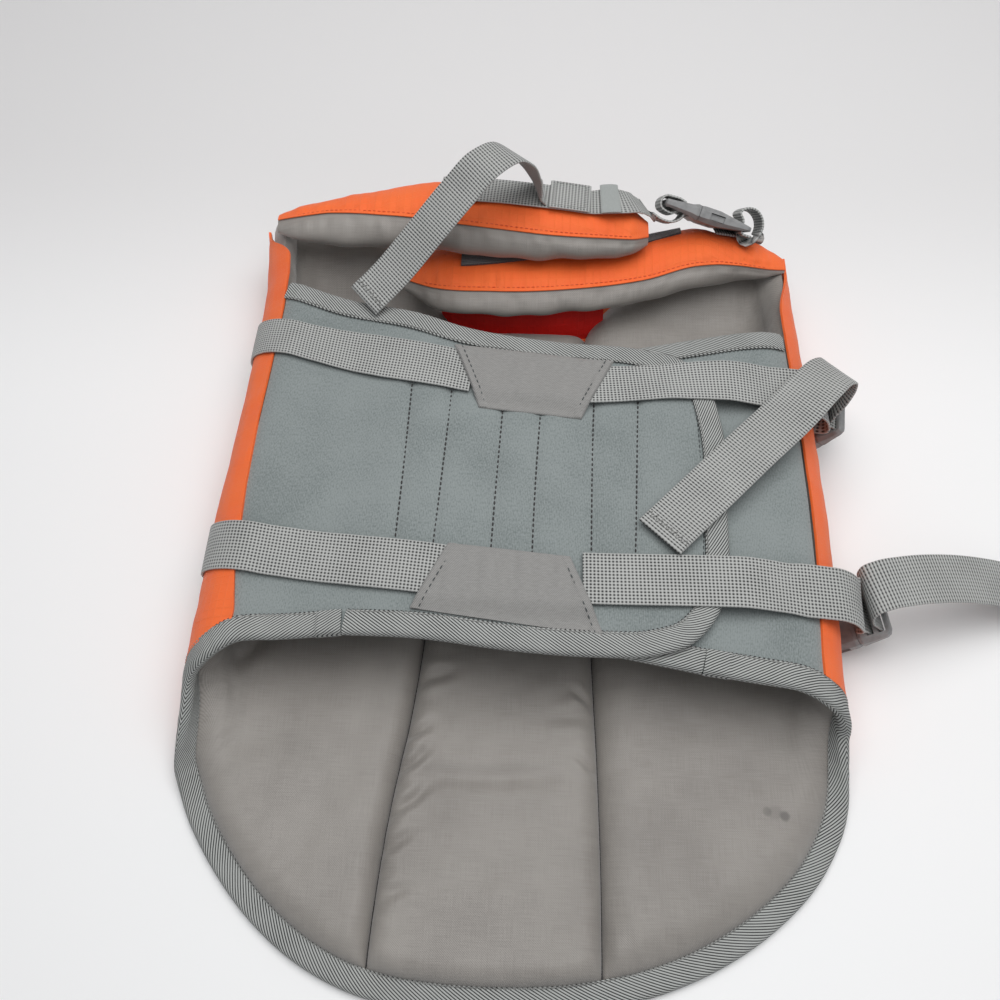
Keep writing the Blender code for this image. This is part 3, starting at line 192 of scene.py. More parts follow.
@dataclass(frozen=True)
class Crease:
    """A soft uneven trough along pattern points, with a low ridge beside it.

    The depth is the greatest one, negative for a ridge; the width is half the trough's, and the
    ridge is a share of the depth.
    """

    points: tuple[Row, ...]
    depth: float
    width: float
    ridge: float = 0.35

    def at(self, s: Array, y: Array) -> Array:
        """Change in thickness: -depth * bell(d / width) * half wave along, plus the ridge."""
        path = smooth_curve(self.points, 24, 200)
        away, along = nearest_on(path, s, y)
        share = along / run_along(path)[-1]
        fade = np.sin(math.pi * np.clip(share, 0.02, 0.98)) ** 0.6
        beside = bump_at(away - 2.2 * self.width, self.width)
        return self.depth * fade * (self.ridge * beside - bump_at(away, self.width))


def puckers(away: Array, along: Array, pitch: float, reach: float, seed: int) -> Array:
    """Gathers square to a seam: a wave along it that dies away as exp(-distance / reach)."""
    wave = Ripple(pitch, seed).along(along)
    return wave * np.exp(-away / reach) * np.clip(away / 2, 0, 1)


def inward(path: Array, turn: float) -> Array:
    """Unit vectors square to a pattern path: to its left for turn 1, to its right for -1."""
    along = unit(np.gradient(path, axis=0))
    return turn * np.stack([-along[:, 1], along[:, 0]], axis=1)


def ruled(near: Array, far: Array, shares: Array) -> Line:
    """Pattern grid between two edges: a row for each of their points, a column for each share."""
    share = shares[:, None]
    grid = near[:, None] * (1 - share) + far[:, None] * share
    return grid[..., 0], grid[..., 1]


def rim_shares(width: float, cells: int, edge: float = 0.45) -> Array:
    """Shares across a strip that is so wide, with two narrow cells at each of its rims."""
    step = edge / width
    inner = np.linspace(2.6 * step, 1 - 2.6 * step, cells - 3)
    return np.concatenate([[0, step], inner, [1 - step, 1]])


def rim_round(shares: Array, width: float, radius: float) -> Array:
    """Share of the full thickness across a strip: a quarter circle of so large a radius at rims."""
    away = np.minimum(shares, 1 - shares) * width
    lack = 1 - np.clip(away / radius, 0, 1)
    return 0.3 + 0.7 * np.sqrt(1 - lack**2)


# --- Meshes ---


def new_piece(
    name: str, points: Array, faces: Array, uv: Array | None = None, sharp: float = 50.0
) -> Piece:
    """A mesh object with smooth faces that point outwards.

    Args:
        name: Name of the piece.
        points: Places in metres.
        faces: Quads, wound the same way all over.
        uv: Each point's place on the cloth, in metres.
        sharp: Degrees from which an edge is sharp.

    Returns:
        The object, at the origin.
    """
    a, b, c, d = (points[faces[:, k]] for k in range(4))
    volume = (a * np.cross(b, c)).sum() + (a * np.cross(c, d)).sum()
    if volume < 0:
        faces = faces[:, ::-1]
    mesh = bpy.data.meshes.new(name)
    mesh.from_pydata(points.tolist(), [], faces.tolist())
    if uv is not None:
        layer = mesh.uv_layers.new(name="UVMap")
        layer.data.foreach_set("uv", uv[faces.ravel()].astype(np.float32).ravel())
    mesh.shade_smooth()
    mesh.set_sharp_from_angle(angle=math.radians(sharp))
    piece = bpy.data.objects.new(name, mesh)
    bpy.context.collection.objects.link(piece)
    return piece


def cloth_solid(name: str, under: Array, over: Array, uv: Array, sharp: float = 50.0) -> Piece:
    """A closed solid between two grids, its rim closed by quads.

    Args:
        name: Name of the piece.
        under: Inner face in jacket millimetres, shaped (rows, columns, 3).
        over: Outer face.
        uv: Place on the cloth in millimetres.
        sharp: Degrees from which an edge is sharp.

    Returns:
        The object.
    """
    rows, columns = under.shape[:2]
    count = rows * columns
    points = to_model(np.concatenate([under.reshape(-1, 3), over.reshape(-1, 3)]))
    index = np.arange(count).reshape(rows, columns)
    quads = np.stack(
        [index[:-1, :-1], index[1:, :-1], index[1:, 1:], index[:-1, 1:]], axis=-1
    ).reshape(-1, 4)
    rim = np.concatenate([index[0, :-1], index[:-1, -1], index[-1, :0:-1], index[:0:-1, 0]])
    beside = np.roll(rim, -1)
    walls = np.stack([rim, beside, beside + count, rim + count], axis=-1)
    faces = np.concatenate([quads, quads[:, ::-1] + count, walls])
    flat = uv.reshape(-1, 2) * MM
    return new_piece(name, points, faces, np.concatenate([flat, flat]), sharp)


@dataclass(frozen=True)
class Stitch:
    """A stitch: its pitch, its length and greatest width, and how far it lies above its path."""

    pitch: float
    length: float
    width: float
    lift: float = 0.0


def stitch_row(path: Array, up: Array, stitch: Stitch) -> Line:
    """Points and quads of stitches laid end to end along a path, each a flattened spindle.

    Around each stitch run six points, at half widths that follow a half wave from end to end.

    Args:
        path: Places in jacket millimetres.
        up: The cloth's outward way at each place.
        stitch: What is laid.

    Returns:
        Points in metres, and quads.
    """
    travelled = run_along(path)
    count = max(2, int(travelled[-1] / stitch.pitch))
    at = (np.arange(count) + 0.5) * travelled[-1] / count
    centre, away = looked_up(at, travelled, path), looked_up(at, travelled, up)
    along = unit(looked_up(at, travelled, np.gradient(path, axis=0)))
    away = unit(away - along * (away * along).sum(1)[:, None])
    across = np.cross(away, along)
    stations = np.array([-0.5, -0.42, -0.2, 0.2, 0.42, 0.5])
    girth = np.array([0.12, 0.6, 1, 1, 0.6, 0.12])
    angles = np.arange(6) * math.pi / 3
    a = np.repeat(stations * stitch.length, 6)
    b = (girth[:, None] * np.cos(angles) * stitch.width / 2).ravel()
    c = (girth[:, None] * np.sin(angles) * stitch.width * 0.4 + stitch.lift).ravel()
    sag = np.repeat(-0.35 * stitch.width * (1 - girth), 6)
    points = centre[:, None] + along[:, None] * a[:, None] + across[:, None] * b[:, None]
    points += away[:, None] * (c + sag)[:, None]
    ring, beside = np.arange(6), (np.arange(6) + 1) % 6
    rows = np.arange(5)[:, None] * 6
    sides = np.stack([rows + ring, rows + beside, rows + 6 + beside, rows + 6 + ring], axis=-1)
    caps = np.array([[3, 2, 1, 0], [5, 4, 3, 0], [30, 31, 32, 33], [30, 33, 34, 35]])
    quads = np.concatenate([sides.reshape(-1, 4), caps])
    faces = quads + (np.arange(count) * 36)[:, None, None]
    return to_model(points.reshape(-1, 3)), faces.reshape(-1, 4)


def merged(parts: Sequence[Line]) -> Line:
    """Several point and quad lists as one."""
    starts = np.cumsum([0] + [len(points) for points, _ in parts])
    points = np.concatenate([points for points, _ in parts])
    faces = np.concatenate([quads + start for (_, quads), start in zip(parts, starts)])
    return points, faces


# --- The closed jacket's pattern ---


@dataclass(frozen=True)
class BodyPattern:
    """The flat pattern of the jacket, and how it is bent round its body.

    The section is flat along the table, a half circle at each side and nearly flat on top. In the
    tail the curl opens, and the pattern lies flat.
    """

    curl: float = 31.0
    unroll_start: float = 84.0
    unroll_end: float = 148.0
    crown: float = 3.0
    front_drop: float = 5.0
    drop_from: float = 300.0
    drop_to: float = 385.0
    flap_lift: float = 6.5
    lift_from: float = -122.0
    lift_to: float = -46.0
    turn_ups: Rows = ((26, 411, 458), (15, 402, 444))
    turn_up_from: float = 54.0
    turn_up_to: float = 106.0
    half_widths: Rows = (
        # y, left, right
        (0, 177, 166.5), (170, 176.5, 167.5), (215, 175, 168.5), (255, 174, 168.5),
        (293, 171.5, 167.5), (335, 169, 165.5), (377, 167.3, 163.5), (405, 167.3, 162.3),
        (430, 169.5, 161), (460, 173, 160),
    )

    def curl_start(self, side: Array | float, y: Array | float) -> Array:
        """Distance from the middle of the back to where a side starts to curl."""
        at, left, right = np.asarray(self.half_widths).T
        left, right = np.interp(y, at, left), np.interp(y, at, right)
        return np.where(np.asarray(side) < 0, left, right) - self.curl

    def on_curl(self, side: float, degrees: Array, y: Array) -> Array:
        """Pattern distance s of a place so many degrees round a side's curl."""
        return side * (self.curl_start(side, y) + self.curl * np.radians(degrees))

    def on_belly(self, side: float, x: Array, y: Array) -> Array:
        """Pattern distance s of a place x on the belly, reached round the given side."""
        start = self.curl_start(side, y)
        return side * (2 * start + self.curl * math.pi - side * np.asarray(x, float))

    def degrees(self, s: Array, y: Array) -> Array:
        """How far round the curl a pattern point is, from 0 on the table to 180 on the belly."""
        start = self.curl_start(np.where(s < 0, -1, 1), y)
        return np.degrees(np.clip((np.abs(s) - start) / self.curl, 0, math.pi))

    def turned_up(self, s: Array, y: Array, z: Array) -> Array:
        """How far the neckline's corners are raised, where the plain pattern lies at a height z."""
        rises = [height * ease((y - since) / (to - since)) for height, since, to in self.turn_ups]
        span = self.turn_up_to - self.turn_up_from
        low = np.clip(1 - z / (2 * self.curl), 0, 1) ** 2
        return np.where(s < 0, *rises) * ease((np.abs(s) - self.turn_up_from) / span) * low

    def worn(self, s: Array, y: Array, out: Array | float) -> Array:
        """Places in space of pattern points moved `out` from the jacket's skin.

        x = min(|s|, start) + R sin(turn) - over and z = R (1 - cos(turn)) + belly, both blended
        with the flat pattern where the tail unrolls.
        """
        s, y, out = np.broadcast_arrays(*(np.asarray(part, float) for part in (s, y, out)))
        side = np.where(s < 0, -1, 1)
        reach = np.abs(s)
        start = self.curl_start(side, y)
        turn = np.clip((reach - start) / self.curl, 0, math.pi)
        over = np.clip(reach - start - self.curl * math.pi, 0, None)
        curled_x = np.minimum(reach, start) + self.curl * np.sin(turn) - over
        curled_z = self.curl * (1 - np.cos(turn))
        belly_x = side * (start - over)
        across = np.clip(1 - (belly_x / 140) ** 2, 0, 1)
        drop = self.front_drop * ease((y - self.drop_from) / (self.drop_to - self.drop_from))
        curled_z = curled_z + np.where(over > 0, across * (self.crown - drop), 0)
        rolled = ease((y - self.unroll_start) / (self.unroll_end - self.unroll_start))
        face_x = rolled * np.sin(turn)
        face_z = -rolled * np.cos(turn) - (1 - rolled)
        size = np.hypot(face_x, face_z)
        x = side * (rolled * curled_x + (1 - rolled) * reach + out * face_x / size)
        z = rolled * curled_z + self.turned_up(s, y, rolled * curled_z) + out * face_z / size
        return np.stack([x, y, z], axis=-1)

    def flap_raise(self, s: Array, y: Array) -> Array:
        """How far the left belly flap, and what is sewn on it, lies above the skin."""
        side = np.where(s < 0, -1, 1)
        start = self.curl_start(side, y)
        x = side * (2 * start + self.curl * math.pi - np.abs(s))
        on_top = np.abs(s) > start + self.curl * math.pi
        raised = self.flap_lift * ease((x - self.lift_from) / (self.lift_to - self.lift_from))
        return np.where(on_top & (s < 0), raised, 0)

    def stitch_path(
        self, path: Array, out: float, raised: bool = False, samples: int = 260
    ) -> Line:
        """A pattern path as places in space, with the outward way at each.

        Args:
            path: Pattern points (s, y).
            out: Distance from the skin.
            raised: Whether it lies on the left belly flap.
            samples: Number of places.

        Returns:
            The places and the unit ways, in jacket millimetres.
        """
        s, y = smooth_curve(path, samples).T
        out = out + (self.flap_raise(s, y) if raised else 0)
        places = self.worn(s, y, out)
        return places, unit(self.worn(s, y, out + 1) - places)


BODY = BodyPattern()


# --- Shader nodes ---


def linear(red: float, green: float, blue: float) -> Colour:
    """A colour given in screen steps of 0 to 255, as linear light with full alpha."""
    steps = np.array([red, green, blue]) / 255
    light = np.where(steps <= 0.04045, steps / 12.92, ((steps + 0.055) / 1.055) ** 2.4)
    return (float(light[0]), float(light[1]), float(light[2]), 1)


class Graph:
    """The node tree of one material."""

    def __init__(self, name: str) -> None:
        """Start a material of that name with no nodes."""
        self.material = bpy.data.materials.new(name)
        self.material.use_nodes = True
        self.tree = self.material.node_tree
        self.tree.nodes.clear()

    def node(
        self, kind: str, settings: dict | None = None, sockets: dict | None = None
    ) -> bpy.types.Node:
        """Add a node.

        Args:
            kind: The node's type.
            settings: Its properties, such as a Math node's operation, which are set first.
            sockets: Numbers, colours, sockets or Values, by the input's name or number.

        Returns:
            The node.
        """
        made = self.tree.nodes.new(kind)
        for key, setting in (settings or {}).items():
            setattr(made, key, setting)
        for key, value in (sockets or {}).items():
            socket = made.inputs[key]
            if isinstance(value, Value):
                self.tree.links.new(value.socket, socket)
            elif isinstance(value, Socket):
                self.tree.links.new(value, socket)
            else:
                socket.default_value = value
        return made

    def value(self, kind: str, settings: dict | None = None, sockets: dict | None = None) -> Value:
        """Add a node and take its first output as a Value."""
        return Value(self, self.node(kind, settings, sockets).outputs[0])

    def cloth_place(self) -> tuple[Value, Value]:
        """The place on the cloth in millimetres, from the piece's UV map."""
        place = self.node("ShaderNodeTexCoord").outputs["UV"]
        parts = self.node("ShaderNodeSeparateXYZ", None, {0: place}).outputs
        return Value(self, parts[0]) * 1000, Value(self, parts[1]) * 1000

    def vector(self, x: Value | float, y: Value | float, z: Value | float = 0.0) -> Socket:
        """A vector from three numbers."""
        return self.node("ShaderNodeCombineXYZ", None, {0: x, 1: y, 2: z}).outputs[0]

    def space(self) -> Socket:
        """The place on the object, in metres."""
        return self.node("ShaderNodeTexCoord").outputs["Object"]

    def noise(self, vector: Socket, scale: float, detail: float = 2.0) -> Value:
        """Smooth noise between about 0 and 1."""
        sockets = {"Vector": vector, "Scale": scale, "Detail": detail}
        return self.value("ShaderNodeTexNoise", None, sockets)

    def blend(self, factor: Value | float, first: object, second: object) -> Socket:
        """Colour that goes from the first to the second as the factor goes from 0 to 1."""
        sockets = {0: factor, 6: first, 7: second}
        mix = self.node("ShaderNodeMix", {"data_type": "RGBA", "clamp_factor": True}, sockets)
        return mix.outputs[2]

    def finish(
        self,
        colour: object,
        roughness: Value | float,
        height: Value | None,
        depth: float,
        constants: dict[str, float] | None = None,
    ) -> Material:
        """Close the graph with a Principled shader and a bump.

        Args:
            colour: Base colour, as four numbers or a socket.
            roughness: Roughness, as a number or a Value.
            height: Relief between 0 and 1, or nothing.
            depth: Depth of the relief in metres.
            constants: Other inputs of the shader.

        Returns:
            The material.
        """
        sockets = {"Base Color": colour, "Roughness": roughness, **(constants or {})}
        if height is not None:
            relief = {"Strength": 1, "Distance": depth, "Height": height}
            sockets["Normal"] = self.node("ShaderNodeBump", None, relief).outputs[0]
        shader = self.node("ShaderNodeBsdfPrincipled", None, sockets)
        self.node("ShaderNodeOutputMaterial", None, {0: shader.outputs[0]})
        return self.material


class Value:
    """A number in a node tree, which takes part in Python expressions."""

    def __init__(self, graph: Graph, socket: Socket) -> None:
        """Wrap a socket of a graph."""
        self.graph = graph
        self.socket = socket

    def _maths(self, operation: str, *others: Value | float) -> Value:
        """Add a Math node that starts with this number."""
        sockets = dict(enumerate((self, *others)))
        return self.graph.value("ShaderNodeMath", {"operation": operation}, sockets)

    def __add__(self, other: Value | float) -> Value:
        """Sum."""
        return self._maths("ADD", other)

    __radd__ = __add__

    def __sub__(self, other: Value | float) -> Value:
        """Difference."""
        return self._maths("SUBTRACT", other)

    def __rsub__(self, other: float) -> Value:
        """Difference from a plain number."""
        return self.graph.value("ShaderNodeMath", {"operation": "SUBTRACT"}, {0: other, 1: self})

    def __mul__(self, other: Value | float) -> Value:
        """Product."""
        return self._maths("MULTIPLY", other)

    __rmul__ = __mul__

    def __truediv__(self, other: Value | float) -> Value:
        """Quotient."""
        return self._maths("DIVIDE", other)

    def __pow__(self, power: float) -> Value:
        """Power."""
        return self._maths("POWER", power)

    def sine(self) -> Value:
        """Sine of an angle in radians."""
        return self._maths("SINE")

    def size(self) -> Value:
        """Absolute value."""
        return self._maths("ABSOLUTE")

    def fraction(self) -> Value:
        """What is left of the whole number below it."""
        return self._maths("FRACT")

    def larger(self, other: Value | float) -> Value:
        """The larger of two numbers."""
        return self._maths("MAXIMUM", other)

    def over(self, low: float, high: float) -> Value:
        """Smooth step from 0 at the low number to 1 at the high one."""
        return self.graph.value(
            "ShaderNodeMapRange",
            {"interpolation_type": "SMOOTHSTEP", "clamp": True},
            {"Value": self, "From Min": low, "From Max": high, "To Min": 0, "To Max": 1},
        )


def wave(place: Value, pitch: float) -> Value:
    """Humps |sin(pi place / pitch)| of one pitch each."""
    return (place * (math.pi / pitch)).sine().size()


# --- Finishes ---


class Weave(Enum):
    """How a webbing is woven."""

    BASKET = "basket"
    RIBBED = "ribbed"


@dataclass(frozen=True)
class ShellNylon:
    """Bright coated nylon with a faint grid of thicker threads."""

    name: str = "orange_shell_nylon"
    colour: Colour = linear(255, 118, 50)
    deep: Colour = linear(252, 99, 40)
    grid: float = 4.6

    def material(self) -> Material:
        """Threads of 0.5 mm both ways, every ninth one thicker, over a slow change of colour."""
        graph = Graph(self.name)
        u, v = graph.cloth_place()
        threads = wave(u, 0.52) * 0.5 + wave(v, 0.52) * 0.5
        ribs = wave(u, self.grid).larger(wave(v, self.grid)).over(0.985, 1)
        slow = graph.noise(graph.space(), 34, 3)
        fibre = graph.noise(graph.vector(u * 0.25, v * 3.2), 1)
        tone = (1 - slow) * 0.5 + (1 - threads) * 0.25 + fibre * 0.2 - ribs * 0.12
        colour = graph.blend(tone.over(0.15, 0.85), self.colour, self.deep)
        height = threads * 0.45 + ribs * 0.35 + slow * 0.5
        sheen = {"Sheen Weight": 0.08, "Sheen Roughness": 0.4}
        return graph.finish(colour, 0.5 + slow * 0.16, height, 0.00035, sheen)


@dataclass(frozen=True)
class Lining:
    """Smooth grey lining with a fine twill; a stain's row has its x, y, size and strength."""

    name: str = "grey_pad_lining"
    colour: Colour = linear(152, 147, 141)
    deep: Colour = linear(124, 119, 114)
    stains: Rows = ()

    def material(self) -> Material:
        """Diagonal threads 1.1 mm apart crossed by faint streaks of single threads."""
        graph = Graph(self.name)
        u, v = graph.cloth_place()
        twill = wave(u + v, 1.1)
        weft = graph.noise(graph.vector(u * 0.07, v * 2.4), 1, 3)
        warp = graph.noise(graph.vector(u * 2.4, v * 0.07, 5), 1, 3)
        slow = graph.noise(graph.space(), 22, 3)
        tone = weft * 0.42 + warp * 0.34 + (1 - twill) * 0.24 + (slow - 0.5) * 0.5
        colour = graph.blend(tone.over(0.28, 0.78), self.colour, self.deep)
        for mark in self.stains:
            colour = graph.blend(self._stain(graph, mark), colour, linear(72, 68, 66))
        height = twill * 0.5 + weft * 0.3 + warp * 0.2
        gloss = {"Sheen Weight": 0.35, "Sheen Roughness": 0.45, "Specular IOR Level": 0.55}
        return graph.finish(colour, 0.47 + tone * 0.14, height, 0.00016, gloss)

    @staticmethod
    def _stain(graph: Graph, mark: Colour) -> Value:
        """How strongly a mark shows: 1 - distance / size, broken up by noise."""
        x, y, size, strength = mark
        middle = to_model([x, y, 0]).tolist()
        parts = graph.node("ShaderNodeSeparateXYZ", None, {0: graph.space()}).outputs
        across, along = ((Value(graph, parts[k]) - middle[k]) * 1000 for k in (0, 1))
        rough = graph.noise(graph.space(), 300, 3)
        away = (across * across + along * along) ** 0.5
        return (1 - away / size + (rough - 0.5) * 0.45).over(0.05, 0.6) * strength


@dataclass(frozen=True)
class Neoprene:
    """Foam rubber faced with a fine heathered jersey."""

    name: str = "grey_neoprene"
    colour: Colour = linear(138, 145, 144)
    deep: Colour = linear(96, 105, 104)

    def material(self) -> Material:
        """Small flecks of two tones over columns of knitted loops 0.9 mm wide."""
        graph = Graph(self.name)
        u, v = graph.cloth_place()
        loops = wave(u, 0.9) * 0.6 + wave(v, 0.7) * 0.4
        fleck = graph.noise(graph.vector(u * 1.2, v * 0.7), 1, 5)
        slow = graph.noise(graph.space(), 26, 3)
        tone = fleck * 0.75 + (1 - loops) * 0.2 + (slow - 0.5) * 0.4
        colour = graph.blend(tone.over(0.3, 0.76), self.colour, self.deep)
        height = loops * 0.55 + fleck * 0.45
        sheen = {"Sheen Weight": 0.3, "Sheen Roughness": 0.6}
        return graph.finish(colour, 0.86 + fleck * 0.1, height, 0.0002, sheen)


@dataclass(frozen=True)
class Tape:
    """Binding tape woven in a herringbone."""

    name: str = "herringbone_tape"
    colour: Colour = linear(178, 180, 177)
    deep: Colour = linear(34, 36, 36)
    pitch: float = 2.5
    stripe: float = 32.0

    def material(self) -> Material:
        """Ridges along v + |u in its stripe|, so that they meet as chevrons at the fold."""
        graph = Graph(self.name)
        u, v = graph.cloth_place()
        lean = (((u + 1) / self.stripe).fraction() - 0.5).size() * self.stripe
        ridge = wave(v + lean * 1.6, self.pitch)
        fibre = graph.noise(graph.vector(u * 2.6, v * 2.6), 1, 3)
        slow = graph.noise(graph.space(), 60, 2)
        # The herringbone ridges are real; the near-black deep colour in the grooves between them is
        # painted shade.
        tone = (1 - ridge) * 0.85 + fibre * 0.22 + (slow - 0.5) * 0.25
        colour = graph.blend(tone.over(0.22, 0.8), self.colour, self.deep)
        return graph.finish(colour, 0.85, ridge * 0.8 + fibre * 0.2, 0.0005)


@dataclass(frozen=True)
class Webbing:
    """Polyester webbing, in a basket weave or ribbed across."""

    name: str
    weave: Weave
    colour: Colour = linear(180, 181, 178)
    deep: Colour = linear(24, 26, 26)
    pitch: float = 1.95

    def material(self) -> Material:
        """Basket: small gaps between crossing threads. Ribbed: long gaps between the ribs."""
        graph = Graph(self.name)
        u, v = graph.cloth_place()
        if self.weave is Weave.BASKET:
            gap = ((1 - wave(u, self.pitch)) * (1 - wave(v, self.pitch))) ** 0.5
        else:
            gap = (1 - wave(v, self.pitch)) ** 0.8 * (1 - wave(u, 2.3) * 0.5)
        fibre = graph.noise(graph.vector(u * 2.2, v * 3), 1, 3)
        slow = graph.noise(graph.space(), 40, 2)
        # The weave is real; the near-black deep colour in the gaps between threads is painted
        # shade.
        tone = gap * 0.9 + fibre * 0.26 + (slow - 0.5) * 0.22
        colour = graph.blend(tone.over(0.1, 0.86), self.colour, self.deep)
        relief = (1 - gap) * 0.85 + fibre * 0.15
        return graph.finish(colour, 0.66 + gap * 0.2, relief, 0.00045, {"Sheen Weight": 0.15})


@dataclass(frozen=True)
class PatchNylon:
    """Stiff grey nylon with a fine twill."""

    name: str = "grey_patch_nylon"
    colour: Colour = linear(154, 153, 150)
    deep: Colour = linear(112, 110, 108)

    def material(self) -> Material:
        """Diagonal threads 0.9 mm apart, with slubs in single threads."""
        graph = Graph(self.name)
        u, v = graph.cloth_place()
        twill = wave(u + v * 0.8, 0.9)
        slub = graph.noise(graph.vector(u * 0.3, v * 1.1), 1, 3)
        fibre = graph.noise(graph.vector(u * 2.1, v * 2.1, 3), 1, 2)
        tone = (1 - twill) * 0.4 + slub * 0.35 + fibre * 0.3
        colour = graph.blend(tone.over(0.2, 0.85), self.colour, self.deep)
        height = twill * 0.55 + slub * 0.25 + fibre * 0.2
        return graph.finish(colour, 0.6 + slub * 0.15, height, 0.0002, {"Sheen Weight": 0.2})


@dataclass(frozen=True)
class Pile:
    """Hook-and-loop tape: a dark mat of short loops."""

    name: str = "hook_and_loop_pile"
    colour: Colour = linear(116, 115, 115)
    deep: Colour = linear(58, 58, 60)

    def material(self) -> Material:
        """Fine noise of 0.5 mm loops in rows."""
        graph = Graph(self.name)
        u, v = graph.cloth_place()
        loops = graph.noise(graph.vector(u * 2.4, v * 2.4), 1, 4)
        height = loops * 0.7 + wave(v, 1.3) * 0.3
        colour = graph.blend(height.over(0.3, 0.75), self.deep, self.colour)
        return graph.finish(colour, 0.95, height, 0.0006, {"Sheen Weight": 0.3})


@dataclass(frozen=True)
class MouldedPlastic:
    """Acetal of the buckles: satin, with faint scuffs that catch on the edges."""

    name: str = "grey_moulded_plastic"
    colour: Colour = linear(143, 143, 143)
    deep: Colour = linear(124, 124, 124)

    def material(self) -> Material:
        """Fine spark texture, and broad patches that are duller than the rest."""
        graph = Graph(self.name)
        grain = graph.noise(graph.space(), 2600, 2)
        scuff = graph.noise(graph.space(), 190, 5)
        colour = graph.blend(scuff.over(0.35, 0.75), self.colour, self.deep)
        return graph.finish(colour, 0.34 + scuff * 0.2, grain * 0.6 + scuff * 0.4, 0.00006)


@dataclass(frozen=True)
class Thread:
    """Twisted sewing thread."""

    name: str
    colour: Colour

    def material(self) -> Material:
        """A plain colour broken by fine twist marks."""
        graph = Graph(self.name)
        twist = graph.noise(graph.space(), 3200, 2)
        dark = tuple(0.55 * part for part in self.colour[:3]) + (1,)
        colour = graph.blend(twist.over(0.3, 0.8), self.colour, dark)
        return graph.finish(colour, 0.7, twist, 0.00008, {"Sheen Weight": 0.2})


class Wardrobe:
    """The jacket's materials, each made once."""

    def __init__(self) -> None:
        """Make every material."""
        self.shell = ShellNylon().material()
        # The collar's copy of the shell nylon is darkened to deep red: painted shade for the
        # shadowed inside of the neck, not a different fabric.
        inside = ShellNylon("orange_nylon_painted_shade", linear(250, 24, 8), linear(226, 14, 5))
        self.collar = inside.material()
        self.lining = Lining().material()
        marks = ((134.6, 95.6, 3.6, 0.6), (130, 97, 5.5, 0.22), (125.8, 97.6, 3.2, 0.36))
        self.stained = Lining("grey_pad_lining_marked", stains=marks).material()
        self.neoprene = Neoprene().material()
        self.tape = Tape().material()
        self.belly_web = Webbing("basket_webbing", Weave.BASKET).material()
        self.tail_web = Webbing("ribbed_webbing", Weave.RIBBED, pitch=1.75).material()
        self.patch = PatchNylon().material()
        self.band = PatchNylon("grey_band", linear(166, 170, 167), linear(138, 142, 140)).material()
        self.pile = Pile().material()
        self.plastic = MouldedPlastic().material()
        self.grey_thread = Thread("grey_thread", linear(150, 150, 147)).material()
        self.dark_thread = Thread("dark_thread", linear(70, 76, 76)).material()
        self.seam_thread = Thread("seam_thread", linear(50, 48, 48)).material()
        self.orange_thread = Thread("orange_thread", linear(240, 92, 36)).material()


class Slot(Enum):
    """The model's named finishes."""

    SHELL = "orange_nylon"
    LINING = "grey_lining"
    NEOPRENE = "neoprene"
    BINDING = "binding"
    WEBBING = "webbing"
    PATCH = "patch_nylon"
    PILE = "hook_and_loop"
    PLASTIC = "buckle_plastic"


def hand_over(piece: Piece, material: Material, slot: Slot, *nodes: str) -> Piece:
    """Dress a piece, fasten it to the jacket and let it stand for its solids.

    Args:
        piece: The finished piece.
        material: What it is made of.
        slot: Not used.
        nodes: The solids that it stands for.

    Returns:
        The piece.
    """
    piece.data.materials.clear()
    piece.data.materials.append(material)
    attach(piece, "root")
    if nodes:
        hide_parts(*nodes)
    LOG.info("%s: %d faces", piece.name, len(piece.data.polygons))
    return piece


def sew(name: str, rows: Sequence[Line], thread: Material, slot: Slot, stitch: Stitch) -> None:
    """Make one piece of all the stitches along several paths.

    Args:
        name: Name of the piece.
        rows: Paths with their outward ways, in jacket millimetres.
        thread: The thread.
        slot: The finish of the cloth that it is sewn through.
        stitch: What is laid along the paths.
    """
    points, faces = merged([stitch_row(path, up, stitch) for path, up in rows])
    hand_over(new_piece(name, points, faces, None, 80), thread, slot)


# --- Outlines of the pattern ---


